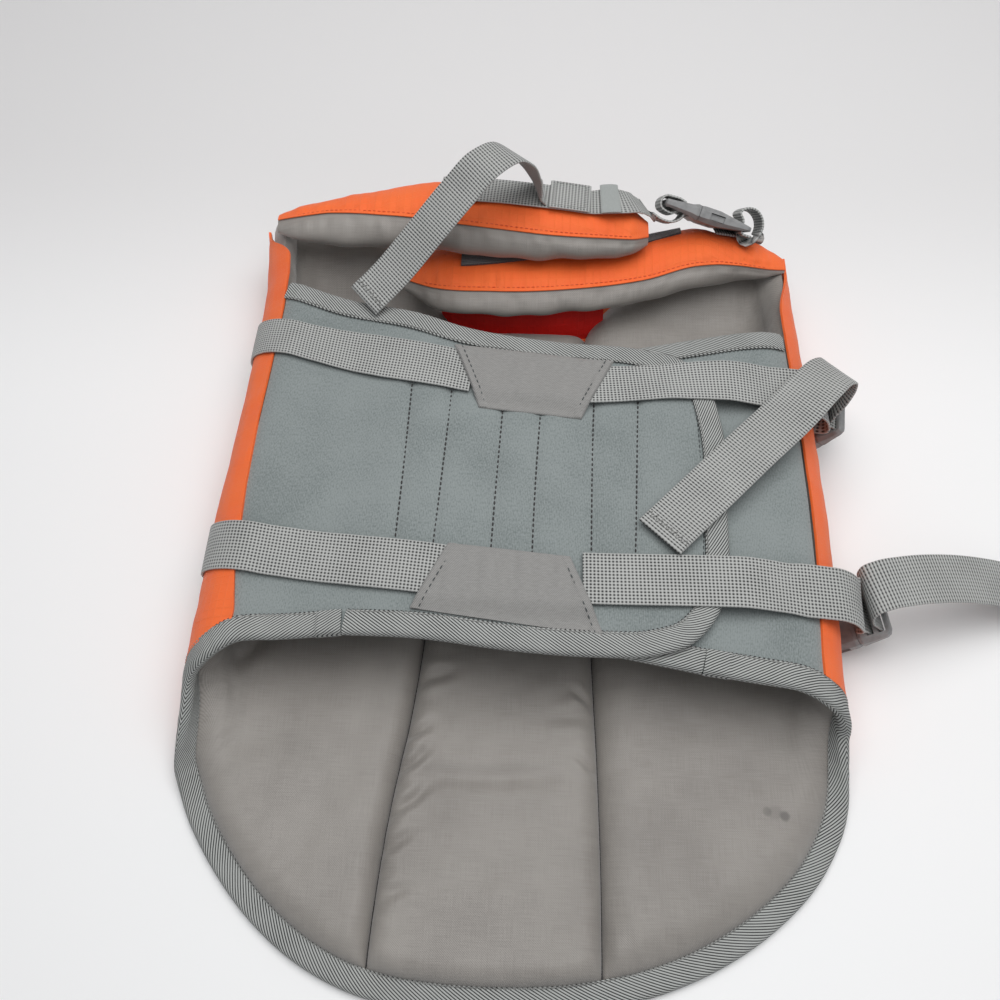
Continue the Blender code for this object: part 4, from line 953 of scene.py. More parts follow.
@dataclass(frozen=True)
class Outlines:
    """The bound edges of the cloth, in pattern millimetres.

    Belly hems are given by places (x, y) on the belly, and side edges by degrees round the curl.
    """

    left_seam: float = 156.0
    right_seam: float = 148.0
    tape_clear: float = 5.7
    left_front_y: float = 395.5
    right_front_y: float = 368.0
    samples: int = 96
    tail: Rows = (
        (-197, 141), (-193, 132), (-189.5, 122.5), (-185.5, 112), (-179, 102), (-167, 81),
        (-151, 59), (-131, 38), (-103, 18), (-75, 6.5), (-40, 1.2), (0, 0.5), (38, 4), (79, 15),
        (108, 29), (131, 45), (152, 66), (165, 87), (173, 105), (177.5, 117.5), (181, 126),
        (185, 133),
    )
    left_side: Rows = ((180, 164.5), (163, 160.5), (144, 155.5), (122, 151), (106, 147))
    right_side: Rows = ((180, 148.5), (163, 146), (144, 142.5), (122, 139.5), (106, 136.5))
    left_rear: Rows = (
        (-127, 166), (-92, 168.5), (-53, 166), (-2, 160.5), (38, 159), (64, 160.5), (84, 168),
        (97, 183), (103.5, 205), (105.5, 243),
    )
    left_front: Rows = (
        (-111, 383), (-67, 371), (-43, 361.5), (17, 350.5), (62, 347), (86, 340), (99, 325),
        (105, 301), (106.5, 259),
    )
    right_rear: Rows = ((121, 150.5), (89, 154.5), (40, 163), (-20, 168))
    right_front: Rows = ((124, 366), (94, 360), (64, 353), (25, 344), (-20, 336))

    def belly_points(self, side: float, rows: Rows) -> Array:
        """Pattern points of a hem given by places on the belly."""
        x, y = np.asarray(rows, float).T
        return np.stack([BODY.on_belly(side, x, y), y], axis=1)

    def curl_points(self, side: float, rows: Rows) -> Array:
        """Pattern points of an edge given by degrees round the curl."""
        degrees, y = np.asarray(rows, float).T
        return np.stack([BODY.on_curl(side, degrees, y), y], axis=1)

    def full_tail(self, count: int | Array) -> Array:
        """The tail's bound edge with both sides, from one end of its tape to the other."""
        parts = (
            self.belly_points(-1, self.left_rear[:2])[::-1],
            self.curl_points(-1, self.left_side),
            np.asarray(self.tail),
            self.curl_points(1, self.right_side)[::-1],
            self.belly_points(1, self.right_rear[:2]),
        )
        return smooth_curve(np.concatenate(parts), count)

    def tail_inside(self, distance: float) -> Array:
        """The tail's bound edge moved in."""
        path = self.full_tail(self.samples)
        return path + inward(path, 1) * distance

    def left_front_hem(self, seam: float) -> Array:
        """The left flap's front hem from so far round the side to its round end."""
        corner = self.curl_points(-1, ((seam, self.left_front_y),))
        return np.concatenate([corner, self.belly_points(-1, self.left_front)])

    def right_front_hem(self, seam: float, rows: Rows) -> Array:
        """The right flap's front hem from so far round the side on."""
        corner = self.curl_points(1, ((seam, self.right_front_y),))
        return np.concatenate([corner, self.belly_points(1, rows)])

    def rear_hem(self, side: float, seam: float, rows: Rows) -> Array:
        """A flap's rear hem: on the tail's bound edge at first, then by itself."""
        edge = smooth_curve(self.full_tail(self.samples), 400)
        beyond = edge[side * edge[:, 0] > abs(float(BODY.on_curl(side, seam, 175)))]
        beyond = beyond[np.argsort(np.abs(beyond[:, 0]))]
        return np.concatenate([beyond[:-1:4], beyond[-1:], self.belly_points(side, rows[2:])])

    @staticmethod
    def between(path: Array, s_from: float, s_to: float, count: int) -> Array:
        """The stretch of an edge between two pattern distances, resampled."""
        fine = smooth_curve(path, 600)
        keep = (fine[:, 0] >= min(s_from, s_to)) & (fine[:, 0] <= max(s_from, s_to))
        return smooth_curve(fine[keep], count)


EDGES = Outlines()


# --- Back: shell, sides, collar and pads ---


@dataclass
class OuterShell:
    """The bright fabric of the back and the two sides, and the collar inside the neckline.

    A shoulder holds the degrees that a side reaches at the neck, where it starts to narrow, and its
    end. A lap is how far a side lies over the belly flap, at places y.
    """

    kit: Wardrobe
    thickness: float = 1.5
    inset: float = 12.9
    back_seam: float = 120.0
    gap: float = 0.3
    left_shoulder: Row = (104, 418, 451)
    right_shoulder: Row = (109, 385, 440)
    left_lap: Rows = ((181, 10), (205, 5.6), (245, 3.2), (300, 0))
    right_lap: Rows = ((165, 3), (190, 2), (235, 0))
    collar: Rows = (
        # x, y of the foot, y of the top, z of the top
        (-58, 404.5, 414, 18.5), (-46.5, 402, 411, 21), (-34, 399, 409, 27), (-10, 398, 408, 28.5),
        (14, 398.5, 409, 28.5), (27, 400.5, 410, 27), (33.5, 402.5, 412, 22),
        (46, 405.5, 415, 19.5),
    )

    def build(self) -> None:
        """Make the shell's pieces."""
        self.make_back()
        left = self.make_side("side_left_fabric", -1, EDGES.left_seam, self.left_shoulder)
        hand_over(left, self.kit.shell, Slot.SHELL, "side_shell_left")
        right = self.make_side("side_right_fabric", 1, EDGES.right_seam, self.right_shoulder)
        hand_over(right, self.kit.shell, Slot.SHELL, "side_shell_right")
        self.make_collar()

    def make_back(self) -> Piece:
        """Back: flat on the table between the tail's curve and the neckline's sine."""
        edge = EDGES.tail_inside(self.inset)
        low = EDGES.between(edge, -self.back_seam, self.back_seam, 70)
        share = (low[:, 0] + self.back_seam) / (2 * self.back_seam)
        neck = 446 - 8 * share - 12 * np.sin(math.pi * share)
        high = np.stack([low[:, 0], neck], axis=1)
        s, y = ruled(low, high, np.linspace(0, 1, 90))
        uv = np.stack([s, y], axis=-1)
        back = cloth_solid("back_fabric", BODY.worn(s, y, -self.thickness), BODY.worn(s, y, 0), uv)
        return hand_over(back, self.kit.shell, Slot.SHELL, "back_shell")

    def make_side(self, name: str, side: float, seam: float, shoulder: Row) -> Piece:
        """Side: up the curl to the belly's seam, with gathers at it and soft folds across.

        Args:
            name: Name of the piece.
            side: -1 for the left one, 1 for the right one.
            seam: Degrees round the curl of the belly's seam.
            shoulder: Degrees that it reaches at the neck, where it starts to narrow, and its end.

        Returns:
            The piece, not dressed yet.
        """
        shoulder_deg, shoulder_from, end_y = shoulder
        inner = self.back_seam + self.gap
        edge = EDGES.tail_inside(self.inset)
        reach = abs(float(BODY.on_curl(side, seam, 175))) - self.gap
        low = EDGES.between(edge, side * inner, side * reach, 64)
        low = low[np.argsort(np.abs(low[:, 0]))]
        share = (np.abs(low[:, 0]) - inner) / (reach - inner)
        rows = np.linspace(0, 1, 140)
        y = low[:, 1:] * (1 - rows) + end_y * rows
        narrowed = ease((y - shoulder_from) / (end_y - shoulder_from))
        degrees = seam - (seam - shoulder_deg) * narrowed
        lap = self.left_lap if side < 0 else self.right_lap
        top = np.abs(BODY.on_curl(side, degrees, np.maximum(y, 175))) - self.gap
        top = top + np.interp(y, *np.asarray(lap).T)
        s = side * (inner + share[:, None] * (top - inner))
        away = (1 - share[:, None]) * (top - inner)
        free = ease((BODY.degrees(s, y) - 25) / 45)
        relief = 0.28 * Ripple(46, 5 + int(side), 0.6).at(s, y)
        relief += 0.3 * puckers(away, y, 19, 7, 31 + int(side))
        relief = free * np.clip(relief - 0.35 * bump_at(away - 6, 3), -0.8, 1.6)
        relief = relief * ease(away / 3)
        lower = BODY.worn(s, y, relief - self.thickness)
        return cloth_solid(name, lower, BODY.worn(s, y, relief), np.stack([s, y], axis=-1))

    def make_collar(self) -> Piece:
        """Collar: foot to top by share^2 in depth, with a slow wave along it."""
        x, foot, top, height = smooth_curve(self.collar, 90).T[..., None]
        share = np.linspace(0, 1, 30)
        x = x + 0 * share
        wave_in = 0.9 * np.sin(x / 7.5) * share + 0.5 * np.sin(x / 3.1 + 1) * share**2
        y = foot + (top - foot) * share**2 + wave_in
        z = 2 + (height - 2) * share
        face = np.stack([x, y, z], axis=-1)
        uv = np.stack([x, z], axis=-1)
        collar = cloth_solid("collar_fabric", face, face + np.array([0, 1.5, 0]), uv)
        # The collar is dressed in the shell nylon's darkened copy, painted shade.
        return hand_over(collar, self.kit.collar, Slot.SHELL, "neck_collar")


@dataclass
class BackPads:
    """The three foam pads that line the back: `full` inside, and `edge` thick at their seams."""

    kit: Wardrobe
    off: float = 2.6
    full: float = 14.6
    edge: float = 2.5
    rise: float = 11.0
    flat: float = 0.2
    gap: float = 0.1
    neck_edge: float = 11.0
    neck_rise: float = 14.0
    reach_deg: float = 140.0
    inset: float = 11.4
    left_shoulder: Row = (148, 415, 457)
    right_shoulder: Row = (104, 385, 443)
    middle_end: float = 399.0
    left_seam: Rows = (
        (-72.4, 8), (-71, 40), (-68.8, 70), (-66.2, 95), (-63, 117), (-59.8, 137), (-56.8, 164),
        (-52, 230), (-49.3, 290), (-48.3, 372), (-49.5, 398), (-60, 424), (-84, 448),
    )
    right_seam: Rows = (
        (42.5, 6.5), (42.2, 70), (40.8, 117), (38.2, 174), (34, 290), (33.4, 374), (35.5, 400),
        (48, 421), (72, 440),
    )
    middle_creases: tuple[Crease, ...] = (
        Crease(((-58, 111), (-36, 109.8), (-5, 110.8), (25, 113.5)), 2, 4.5, 0.25),
        Crease(((-67, 111), (-56, 116.5), (-47, 125)), 3.4, 2.2),
        Crease(((-72, 88), (-58, 95), (-46.5, 105)), 3.4, 2.4),
        Crease(((-74, 70), (-62, 75.5), (-53, 82)), 2.8, 2.4),
        Crease(((-66, 129.5), (-55, 133), (-46.5, 138)), 2.8, 2.2),
        Crease(((-62, 158.5), (-48, 163.5), (-35, 167.5)), 2.4, 3),
        Crease(((-72, 46), (-62, 51), (-54, 56)), 1.8, 2.6),
        Crease(((44, 147), (34.5, 153.5), (26.5, 159)), 2.6, 2),
        Crease(((44, 145.5), (28, 144), (11, 142)), 1.5, 3),
        Crease(((46, 112.5), (36.5, 118), (28, 123.5)), 2.2, 2),
        Crease(((-30, 60), (-10, 64), (14, 61)), 0.6, 5),
    )
    left_creases: tuple[Crease, ...] = (
        Crease(((-178, 172), (-163, 170), (-150, 176), (-140, 186)), 1.9, 5),
        Crease(((-165, 118), (-140, 126), (-112, 122)), 0.7, 7),
        Crease(((-120, 60), (-104, 84), (-98, 112)), 0.6, 8),
    )
    right_creases: tuple[Crease, ...] = (
        Crease(((62, 150), (92, 139), (128, 141)), 0.7, 7),
        Crease(((150, 118), (130, 112), (112, 118)), 0.8, 5),
        Crease(((70, 44), (88, 62), (96, 92)), 0.6, 8),
    )

    def build(self) -> None:
        """Make the three pads and the seams' thread."""
        left = self.make_outer(
            "pad_left_quilt", -1, self.left_seam, self.left_shoulder, self.left_creases, 11
        )
        hand_over(left, self.kit.lining, Slot.LINING, "back_pad_left")
        middle = self.make_middle()
        hand_over(middle, self.kit.lining, Slot.LINING, "back_pad_middle")
        right = self.make_outer(
            "pad_right_quilt", 1, self.right_seam, self.right_shoulder, self.right_creases, 23
        )
        hand_over(right, self.kit.stained, Slot.LINING, "back_pad_right")
        rows = []
        for seam in (self.left_seam, self.right_seam):
            path = self.seam_path(seam, 0)
            places, way = BODY.stitch_path(path[path[:, 1] < 392], -self.off - self.edge - 0.3)
            rows.append((places, -way))
        sew("pad_seam_stitches", rows, self.kit.seam_thread, Slot.LINING, Stitch(2.4, 2.9, 0.9))

    def seam_path(self, rows: Rows, side: float) -> Array:
        """A seam from the tail's binding up, moved aside by half the gap between two pads."""
        seam = smooth_curve(rows, 300)
        edge = smooth_curve(EDGES.tail_inside(self.inset), 600)
        edge = edge[np.argsort(edge[:, 0])]
        inside = seam[:, 1] >= np.interp(seam[:, 0], edge[:, 0], edge[:, 1])
        return seam[inside] + np.array([side * self.gap / 2, 0])

    def quilt(
        self,
        name: str,
        s: Array,
        y: Array,
        seams: Sequence[tuple[Array, float, float, float, float, int]],
        neck: Array,
        creases: Sequence[Crease],
        seed: int,
    ) -> Piece:
        """A pad over a pattern grid.

        Its thickness rises from each seam as a quarter round sqrt(1 - (1 - d / rise)^2), with
        gathers square to the seams, slow swells and its own creases.

        Args:
            name: Name of the piece.
            s: Pattern distances round the body.
            y: Pattern distances from the tail.
            seams: Path, thickness there, rise, height and pitch of its gathers, and their seed.
            neck: The pad's folded end at the neckline.
            creases: Creases of its own.
            seed: Number that fixes its swells.

        Returns:
            The piece, not dressed yet.
        """
        share = np.ones(s.shape)
        gathers = np.zeros(s.shape)
        for path, thin, rise, height, pitch, at in seams:
            away, along = nearest_on(path, s, y)
            part = np.clip((away - self.flat) / rise, 0, 1)
            swell = np.sqrt(1 - (1 - part) ** 2)
            share = share * (thin + (self.full - thin) * swell) / self.full
            gathers += height * puckers(away, along, pitch, 0.6 * rise, at)
        away, _ = nearest_on(neck, s, y)
        swell = np.sin(0.5 * math.pi * np.clip(away / self.neck_rise, 0, 1)) ** 0.8
        share = share * (self.neck_edge + (self.full - self.neck_edge) * swell) / self.full
        detail = gathers + 0.5 * Ripple(58, seed).at(s, y) + 0.16 * Ripple(19, seed + 1).at(s, y)
        detail = detail + sum(crease.at(s, y) for crease in creases)
        thickness = self.full * share + detail * np.clip(share * 1.6 - 0.25, 0, 1)
        thickness = np.maximum(thickness, self.edge - 0.4)
        end = np.sqrt(1 - (1 - np.clip(away / 4.5, 0, 1)) ** 2)
        lost = thickness * (1 - (0.12 + 0.88 * end))
        off = self.off + np.clip(0.5 * BODY.turned_up(s, y, BODY.worn(s, y, 0)[..., 2]), 0, 1.6)
        uv = np.stack([s, y], axis=-1)
        inner = BODY.worn(s, y, 0.5 * lost - off - thickness)
        return cloth_solid(name, inner, BODY.worn(s, y, -off - 0.5 * lost), uv)

    def make_outer(
        self,
        name: str,
        side: float,
        seam_rows: Rows,
        shoulder: Row,
        creases: Sequence[Crease],
        seed: int,
    ) -> Piece:
        """A side pad: flat in the tail, and curled up inside the side of the body."""
        shoulder_deg, shoulder_from, end_y = shoulder
        seam = self.seam_path(seam_rows, side)
        edge = EDGES.tail_inside(self.inset)
        reach = abs(float(BODY.on_curl(side, self.reach_deg, 180)))
        tail = EDGES.between(edge, float(seam[0, 0]), side * reach, 60)
        tail = tail[np.argsort(np.abs(tail[:, 0]))]
        up = np.linspace(tail[-1, 1] + 14, end_y, 9)
        degrees = self.reach_deg - (self.reach_deg - shoulder_deg) * ease(
            (up - shoulder_from) / (end_y - shoulder_from)
        )
        outline = np.concatenate([tail, np.stack([BODY.on_curl(side, degrees, up), up], axis=1)])
        foot = seam[seam[:, 1] > tail[0, 1] + 2.5]
        rows = np.concatenate([np.linspace(0, 0.6, 190), np.linspace(0.6, 1, 70)[1:]])
        shares = rim_shares(110, 62, 0.8)
        s, y = ruled(smooth_curve(foot, rows), smooth_curve(outline, rows), shares)
        bound = smooth_curve(outline, 260)
        seams = (
            (seam, self.edge, 11 + 6 * (side > 0), 0.3, 17, seed + 2),
            (bound, self.edge, self.rise + 4 + 5 * (side > 0), 0.7, 14, seed + 3),
        )
        neck = smooth_curve(np.stack([foot[-1], outline[-1]]), 20)
        return self.quilt(name, s, y, seams, neck, creases, seed)

    def make_middle(self) -> Piece:
        """The pad between the two seams, from the tail's binding to the neckline."""
        left, right = self.seam_path(self.left_seam, 1), self.seam_path(self.right_seam, -1)
        edge = EDGES.tail_inside(self.inset)
        low = EDGES.between(edge, float(left[0, 0]), float(right[0, 0]), 7)
        sides = [
            smooth_curve(seam[(seam[:, 1] >= end[1]) & (seam[:, 1] < self.middle_end)], 240)
            for seam, end in ((left, low[0]), (right, low[-1]))
        ]
        shares = rim_shares(110, 66, 0.8)
        s, y = ruled(sides[0], sides[1], shares)
        bow = np.interp(shares, np.linspace(0, 1, 7), low[:, 1]) - y[0]
        y += bow * (1 - np.linspace(0, 1, len(y)))[:, None] ** 6
        seams = (
            (left, self.edge, self.rise, 0.8, 13, 71),
            (right, self.edge, self.rise + 1, 0.6, 13, 72),
            (smooth_curve(low, 120), self.edge, self.rise - 1, 1.4, 11, 73),
        )
        neck = smooth_curve(np.stack([sides[0][-1], sides[1][-1]]), 20)
        return self.quilt("pad_middle_quilt", s, y, seams, neck, self.middle_creases, 41)


# --- Belly: flaps, tapes, straps and patches ---


@dataclass
class BellyFlaps:
    """The two neoprene flaps; the left one laps over the right one and is sewn in channels.

    A channel's row has the places of its ends on the belly, front and rear.
    """

    kit: Wardrobe
    face: float = -1.5
    inner: float = -4.7
    edge_in: float = 1.0
    channels: Rows = (
        (-67, 351, -70, 190), (-44, 349, -49, 196), (-15, 330, -18, 200), (7, 330, 3, 200),
        (37, 330, 33, 200), (62, 330, 55, 200),
    )

    def build(self) -> None:
        """Make both flaps and the channels' stitches."""
        left = self.make_flap("belly_left_neoprene", -1)
        hand_over(left, self.kit.neoprene, Slot.NEOPRENE, "belly_flap_left")
        right = self.make_flap("belly_right_neoprene", 1)
        hand_over(right, self.kit.neoprene, Slot.NEOPRENE, "belly_flap_right")
        rows = [BODY.stitch_path(path, self.face - 0.85, True) for path in self.channel_paths()]
        sew("channel_stitches", rows, self.kit.seam_thread, Slot.NEOPRENE, Stitch(3.1, 2.3, 0.95))
        column = EDGES.belly_points(-1, ((91.5, 318), (93, 290), (93, 250), (91, 205)))
        rows = [BODY.stitch_path(column, self.face - 0.05, True)]
        sew("end_stitches", rows, self.kit.dark_thread, Slot.NEOPRENE, Stitch(3.4, 2.6, 0.6))

    def channel_paths(self) -> list[Array]:
        """Each channel's pattern path, bowed by half a wave of 0.8 mm."""
        paths = []
        for k, (x0, y0, x1, y1) in enumerate(self.channels):
            share = np.linspace(0, 1, 30)
            x = x0 + (x1 - x0) * share + 0.8 * np.sin(math.pi * (share + 0.3 * k))
            y = y0 + (y1 - y0) * share
            paths.append(np.stack([BODY.on_belly(-1, x, y), y], axis=1))
        return paths

    def make_flap(self, name: str, side: float) -> Piece:
        """A flap between its rear and front hems.

        Its outer face is the skin, less a bell exp(-(d / 2)^2) along each channel, plus a slow
        swell between them.
        """
        if side < 0:
            near = EDGES.rear_hem(-1, EDGES.left_seam, EDGES.left_rear)
            far = EDGES.left_front_hem(EDGES.left_seam)
        else:
            near = EDGES.rear_hem(1, EDGES.right_seam, EDGES.right_rear)
            far = EDGES.right_front_hem(EDGES.right_seam, EDGES.right_front)
        near, far = smooth_curve(near, 150), smooth_curve(far, 150)
        near = near + inward(near, side) * self.edge_in
        far = far + inward(far, -side) * self.edge_in
        shares = rim_shares(180, 90, 0.7)
        for edge in (near, far):
            edge[:, 0] -= side * BODY.curl_start(side, edge[:, 1])
        s, y = ruled(near, far, shares)
        s += side * BODY.curl_start(side, y)
        relief = 0.28 * Ripple(46, 90 + int(side)).at(s, y)
        if side < 0:
            for path in self.channel_paths():
                away, along = nearest_on(path, s, y)
                whole = run_along(path)[-1]
                fade = ease(along / 8) * ease((whole - along) / 8)
                relief -= fade * (1.35 * bump_at(away, 2) - 0.35 * bump_at(away - 8, 5))
                relief += fade * 0.12 * puckers(away, along, 6, 5, 7)
        row = np.arange(len(s))
        relief *= ease(np.minimum(row, row[::-1]) / 3)[:, None]
        raised = BODY.flap_raise(s, y) if side < 0 else 0
        lower = BODY.worn(s, y, self.inner + raised)
        upper = BODY.worn(s, y, self.face + relief + raised)
        return cloth_solid(name, lower, upper, np.stack([s, y], axis=-1))


@dataclass
class Bindings:
    """Herringbone tape folded over the bound edges, with its picot stitches.

    The insides of its legs lie at `under` and `over` from the jacket's skin.
    """

    kit: Wardrobe
    width: float = 12.0
    tape: float = 1.2
    under: float = -5.2
    over: float = -1.0
    step: float = 1.3

    def build(self) -> None:
        """Make the four tapes."""
        tail = EDGES.full_tail(np.linspace(0, 1, 780))
        tail[0, 0] += 0.3
        tail[-1, 0] -= 0.3
        self.make("tail_tape", tail, 1, True, "tail_binding", end_lift=(1, 1))
        rear = EDGES.belly_points(-1, EDGES.left_rear)[1:]
        front = EDGES.left_front_hem(EDGES.left_seam + EDGES.tape_clear)
        loop = smooth_curve(np.concatenate([rear, front[::-1]]), 480)
        self.make("left_flap_tape", loop, -1, True, "left_flap_binding")
        front = EDGES.right_front_hem(EDGES.right_seam + EDGES.tape_clear, EDGES.right_front[:4])
        front = smooth_curve(front, 130)
        self.make("right_flap_front_tape", front, -1, False, "right_flap_front_binding")
        rear = smooth_curve(EDGES.belly_points(1, EDGES.right_rear[1:3]), 50)
        rear[0, 0] += 0.3
        self.make("right_flap_rear_tape", rear, 1, False, "right_flap_rear_binding")

    def section(self) -> Line:
        """The folded tape's section as (inwards, out): its inside, and its rounded outside.

        The outside is two legs, crowned by half a sine, joined by half an ellipse.
        """
        leg = np.linspace(self.width, 2.8, 9)
        crown = 0.28 * np.sin(math.pi * (self.width - leg) / self.width)
        lip = 0.35 * bump_at(leg - self.width, 0.5)
        low = np.stack([leg, self.under - self.tape - crown + lip], axis=1)
        high = np.stack([leg, crown + 0.05 - lip], axis=1)[::-1]
        bottom, top = low[-1, 1], high[0, 1]
        middle, half = (bottom + top) / 2, (top - bottom) / 2
        turn = np.radians(np.linspace(-90, 90, 13)[1:-1])
        bend = np.stack([2.8 - 3.4 * np.cos(turn) ** 0.85, middle + half * np.sin(turn)], axis=1)
        outside = np.concatenate([low, bend, high])
        corners = np.array(
            [(self.width, self.under), (0.6, self.under), (0.6, self.over), (self.width, self.over)]
        )
        run = run_along(corners)
        return looked_up(np.linspace(0, run[-1], len(outside)), run, corners), outside

    def make(
        self, name: str, path: Array, turn: float, raised: bool, node: str, end_lift: Row = (0, 0)
    ) -> None:
        """A tape along a pattern path, with its stitches on both faces.

        Args:
            name: Name of the piece.
            path: The bound edge, in pattern millimetres.
            turn: 1 if the cloth is to the left of the path, -1 if to its right.
            raised: Whether the tape may lie on the left belly flap.
            node: The solid that it stands for.
            end_lift: How far its ends lie on top of the next tape.
        """
        side = inward(path, turn)
        travelled = run_along(path)
        ends = end_lift[0] * (travelled < 13) + end_lift[1] * (travelled[-1] - travelled < 13)
        inside, outside = self.section()
        across = run_along(outside)
        gather = 0.1 * Ripple(9, 17).along(travelled)
        grids = []
        for table, grow in ((inside, 0), (outside, 1)):
            place = path[:, None] + side[:, None] * table[:, :1]
            s, y = place[..., 0], place[..., 1]
            lift = BODY.flap_raise(s, y) if raised else 0
            way = np.sign(table[:, 1] - self.under / 2)
            out = table[:, 1] + grow * way * (gather + ends)[:, None] + lift
            grids.append(BODY.worn(s, y, out))
        uv = np.stack(np.broadcast_arrays(across, travelled[:, None]), axis=-1)
        tape = cloth_solid(name, *grids, uv, 62)
        hand_over(tape, self.kit.tape, Slot.BINDING, node)
        samples = max(20, int(travelled[-1] / 2))
        line = path + side * (self.width - 0.9)
        above = BODY.stitch_path(line, 0.12, raised, samples)
        below, up = BODY.stitch_path(line, self.under - self.tape - 0.12, raised, samples)
        thread, picot = self.kit.grey_thread, Stitch(2.3, 1.9, 0.75, 0.1)
        sew(name + "_stitches", [above, (below, -up)], thread, Slot.BINDING, picot)
        # A row of short dark stitches just beside the tape, on the cloth: painted shadow under the
        # tape's edge.
        beside = BODY.stitch_path(path + side * (self.width + 0.3), -0.45, raised, samples)
        thread, shadow_dash = self.kit.seam_thread, Stitch(2.3, 1.2, 0.6)
        sew(name + "_shadow_dashes", [beside], thread, Slot.BINDING, shadow_dash)


@dataclass
class Ribbons:
    """Webbing laid along routes through space."""

    thickness: float = 1.4
    rim: float = 0.7

    def profile(self, width: float) -> Line:
        """Places across the webbing and its thickness there, rounded at the selvedges."""
        shares = rim_shares(width, 13, 0.35)
        return (shares - 0.5) * width, rim_round(shares, width, self.rim) * self.thickness

    def along(
        self, name: str, rows: Rows, width: float, hem: float = 0.0, spacing: float = 1.5
    ) -> tuple[Piece, Array, Array, Array]:
        """Webbing along rows of x, y, z, its width's bearing and rise, and the share kept of it.

        Each section is the centre + across * u + normal * thickness(u) / 2, and the last `hem`
        millimetres are folded double.

        Args:
            name: Name of the piece.
            rows: The route, in jacket millimetres and degrees.
            width: Of the webbing.
            hem: Length of the folded end.
            spacing: Distance between two sections.

        Returns:
            The piece, and the centre, across and normal at each of its sections.
        """
        places = np.array([(*row, 1)[:6] for row in rows], float)
        count = max(12, int(run_along(places[:, :3])[-1] / spacing))
        table = smooth_curve(places, count, fine=4000)
        centre = table[:, :3]
        bearing, rise = np.radians(table[:, 3]), np.radians(table[:, 4])
        across = np.stack(
            [np.cos(bearing) * np.cos(rise), np.sin(bearing) * np.cos(rise), np.sin(rise)], axis=1
        )
        along = unit(np.gradient(centre, axis=0))
        across = unit(across - along * (across * along).sum(axis=1)[:, None])
        normal = np.cross(along, across)
        if normal[:, 2].sum() < 0:
            normal = -normal
        travelled = run_along(centre)
        u, thick = self.profile(width)
        fold = 1 + 0.85 * (travelled[-1] - travelled < hem)
        ends = np.minimum(travelled, travelled[-1] - travelled)
        fold = fold * (0.35 + 0.65 * np.sqrt(1 - (1 - np.clip(ends / 0.8, 0, 1)) ** 2))
        middle = centre[:, None] + across[:, None] * (u * table[:, 5:])[..., None]
        shift = normal[:, None] * (thick * fold[:, None] / 2)[..., None]
        uv = np.stack(np.broadcast_arrays(u, travelled[:, None]), axis=-1)
        return cloth_solid(name, middle - shift, middle + shift, uv, 60), centre, across, normal


@dataclass
class BellyStraps:
    """The four straps of the belly, sewn under two trapezoid patches.

    A left strap's row has the heights of its middle at `foot_deg`, at 90 degrees and at each
    `left_x`. A pinch has the shares of its width that a right strap keeps, at places x.
    """

    kit: Wardrobe
    ribbons: Ribbons = field(default_factory=Ribbons)
    width: float = 30.0
    on: float = 0.5
    step_from: float = 110.0
    step_to: float = 146.0
    foot_deg: float = 24.0
    front_left: Row = (374, 365, 351.5, 338.5, 325)
    rear_left: Row = (234, 225, 214.5, 207.5, 200)
    left_x: Row = (-138, -89, -33)
    front_right_y: float = 325.0
    rear_right_y: float = 200.5
    front_slant: float = 6.5
    rear_slant: float = 1.5
    front_pinch: Rows = ((29, 0.86), (75, 0.77), (95, 0.87), (125, 0.95))
    rear_pinch: Rows = ((29, 0.95), (125, 0.95))
    right_x: float = 29.0

    def make_left(self, name: str, node: str, centre_y: Row, pinch: Row) -> None:
        """A strap from low on the left side, up and over the flap to its patch.

        Args:
            name: Name of the piece.
            node: The solid that it stands for.
            centre_y: Height of its middle at the foot, at 90 degrees and at each `left_x`.
            pinch: How much of its width it keeps there, where its edges curl.
        """
        y = np.asarray(centre_y)
        places = [BODY.on_curl(-1, deg, at) for deg, at in zip((self.foot_deg, 90), y)]
        places += [BODY.on_belly(-1, x, at) for x, at in zip(self.left_x, y[2:])]
        route = np.stack([np.asarray(places, float), y], axis=1)
        table = smooth_curve(np.column_stack([route, pinch]), 170)
        centre = table[:, :2]
        u, thick = self.ribbons.profile(self.width)
        s = centre[:, :1] + 0 * u
        at = centre[:, 1:] + u * table[:, 2:]
        travelled = run_along(centre)
        ripple = 0.16 * Ripple(26, 51).along(travelled)[:, None] * (u / 15) ** 2
        middle = self.on + self.ribbons.thickness / 2 + ripple + BODY.flap_raise(s, at)
        under = BODY.worn(s, at, middle - thick / 2)
        over = BODY.worn(s, at, middle + thick / 2)
        uv = np.stack(np.broadcast_arrays(u, travelled[:, None]), axis=-1)
        strap = cloth_solid(name, under, over, uv, 60)
        hand_over(strap, self.kit.belly_web, Slot.WEBBING, node)

    def row(self, s: float, y: float, out: float) -> Row:
        """A route's row on the body: its place and the way of its width, which lies along y."""
        low, centre, high = BODY.worn(np.full(3, s), y + np.array([-0.5, 0, 0.5]) * self.width, out)
        way = high - low
        bearing = math.degrees(math.atan2(way[1], way[0]))
        rise = math.degrees(math.atan2(way[2], math.hypot(way[0], way[1])))
        return (*centre, bearing, rise)

    def right_rows(self, y: float, slant: float, pinch: Rows, fall: Rows) -> list[Row]:
        """Rows of a right strap from its patch, up its slant, over the side and to its buckle."""
        on_skin = self.on + 0.2 + self.ribbons.thickness / 2
        rows = []
        for x in np.linspace(self.right_x, float(BODY.curl_start(1, y)), 10):
            drop = BODY.flap_lift * float(
                1 - ease((x - self.step_from) / (self.step_to - self.step_from))
            )
            low = y - slant * float(1 - ease((x - self.right_x) / 84))
            kept = float(np.interp(x, *np.asarray(pinch).T))
            rows.append((*self.row(float(BODY.on_belly(1, x, low)), low, on_skin + drop), kept))
        for degrees, out in fall:
            rows.append(self.row(float(BODY.on_curl(1, degrees, y)), y, on_skin + out))
        return rows


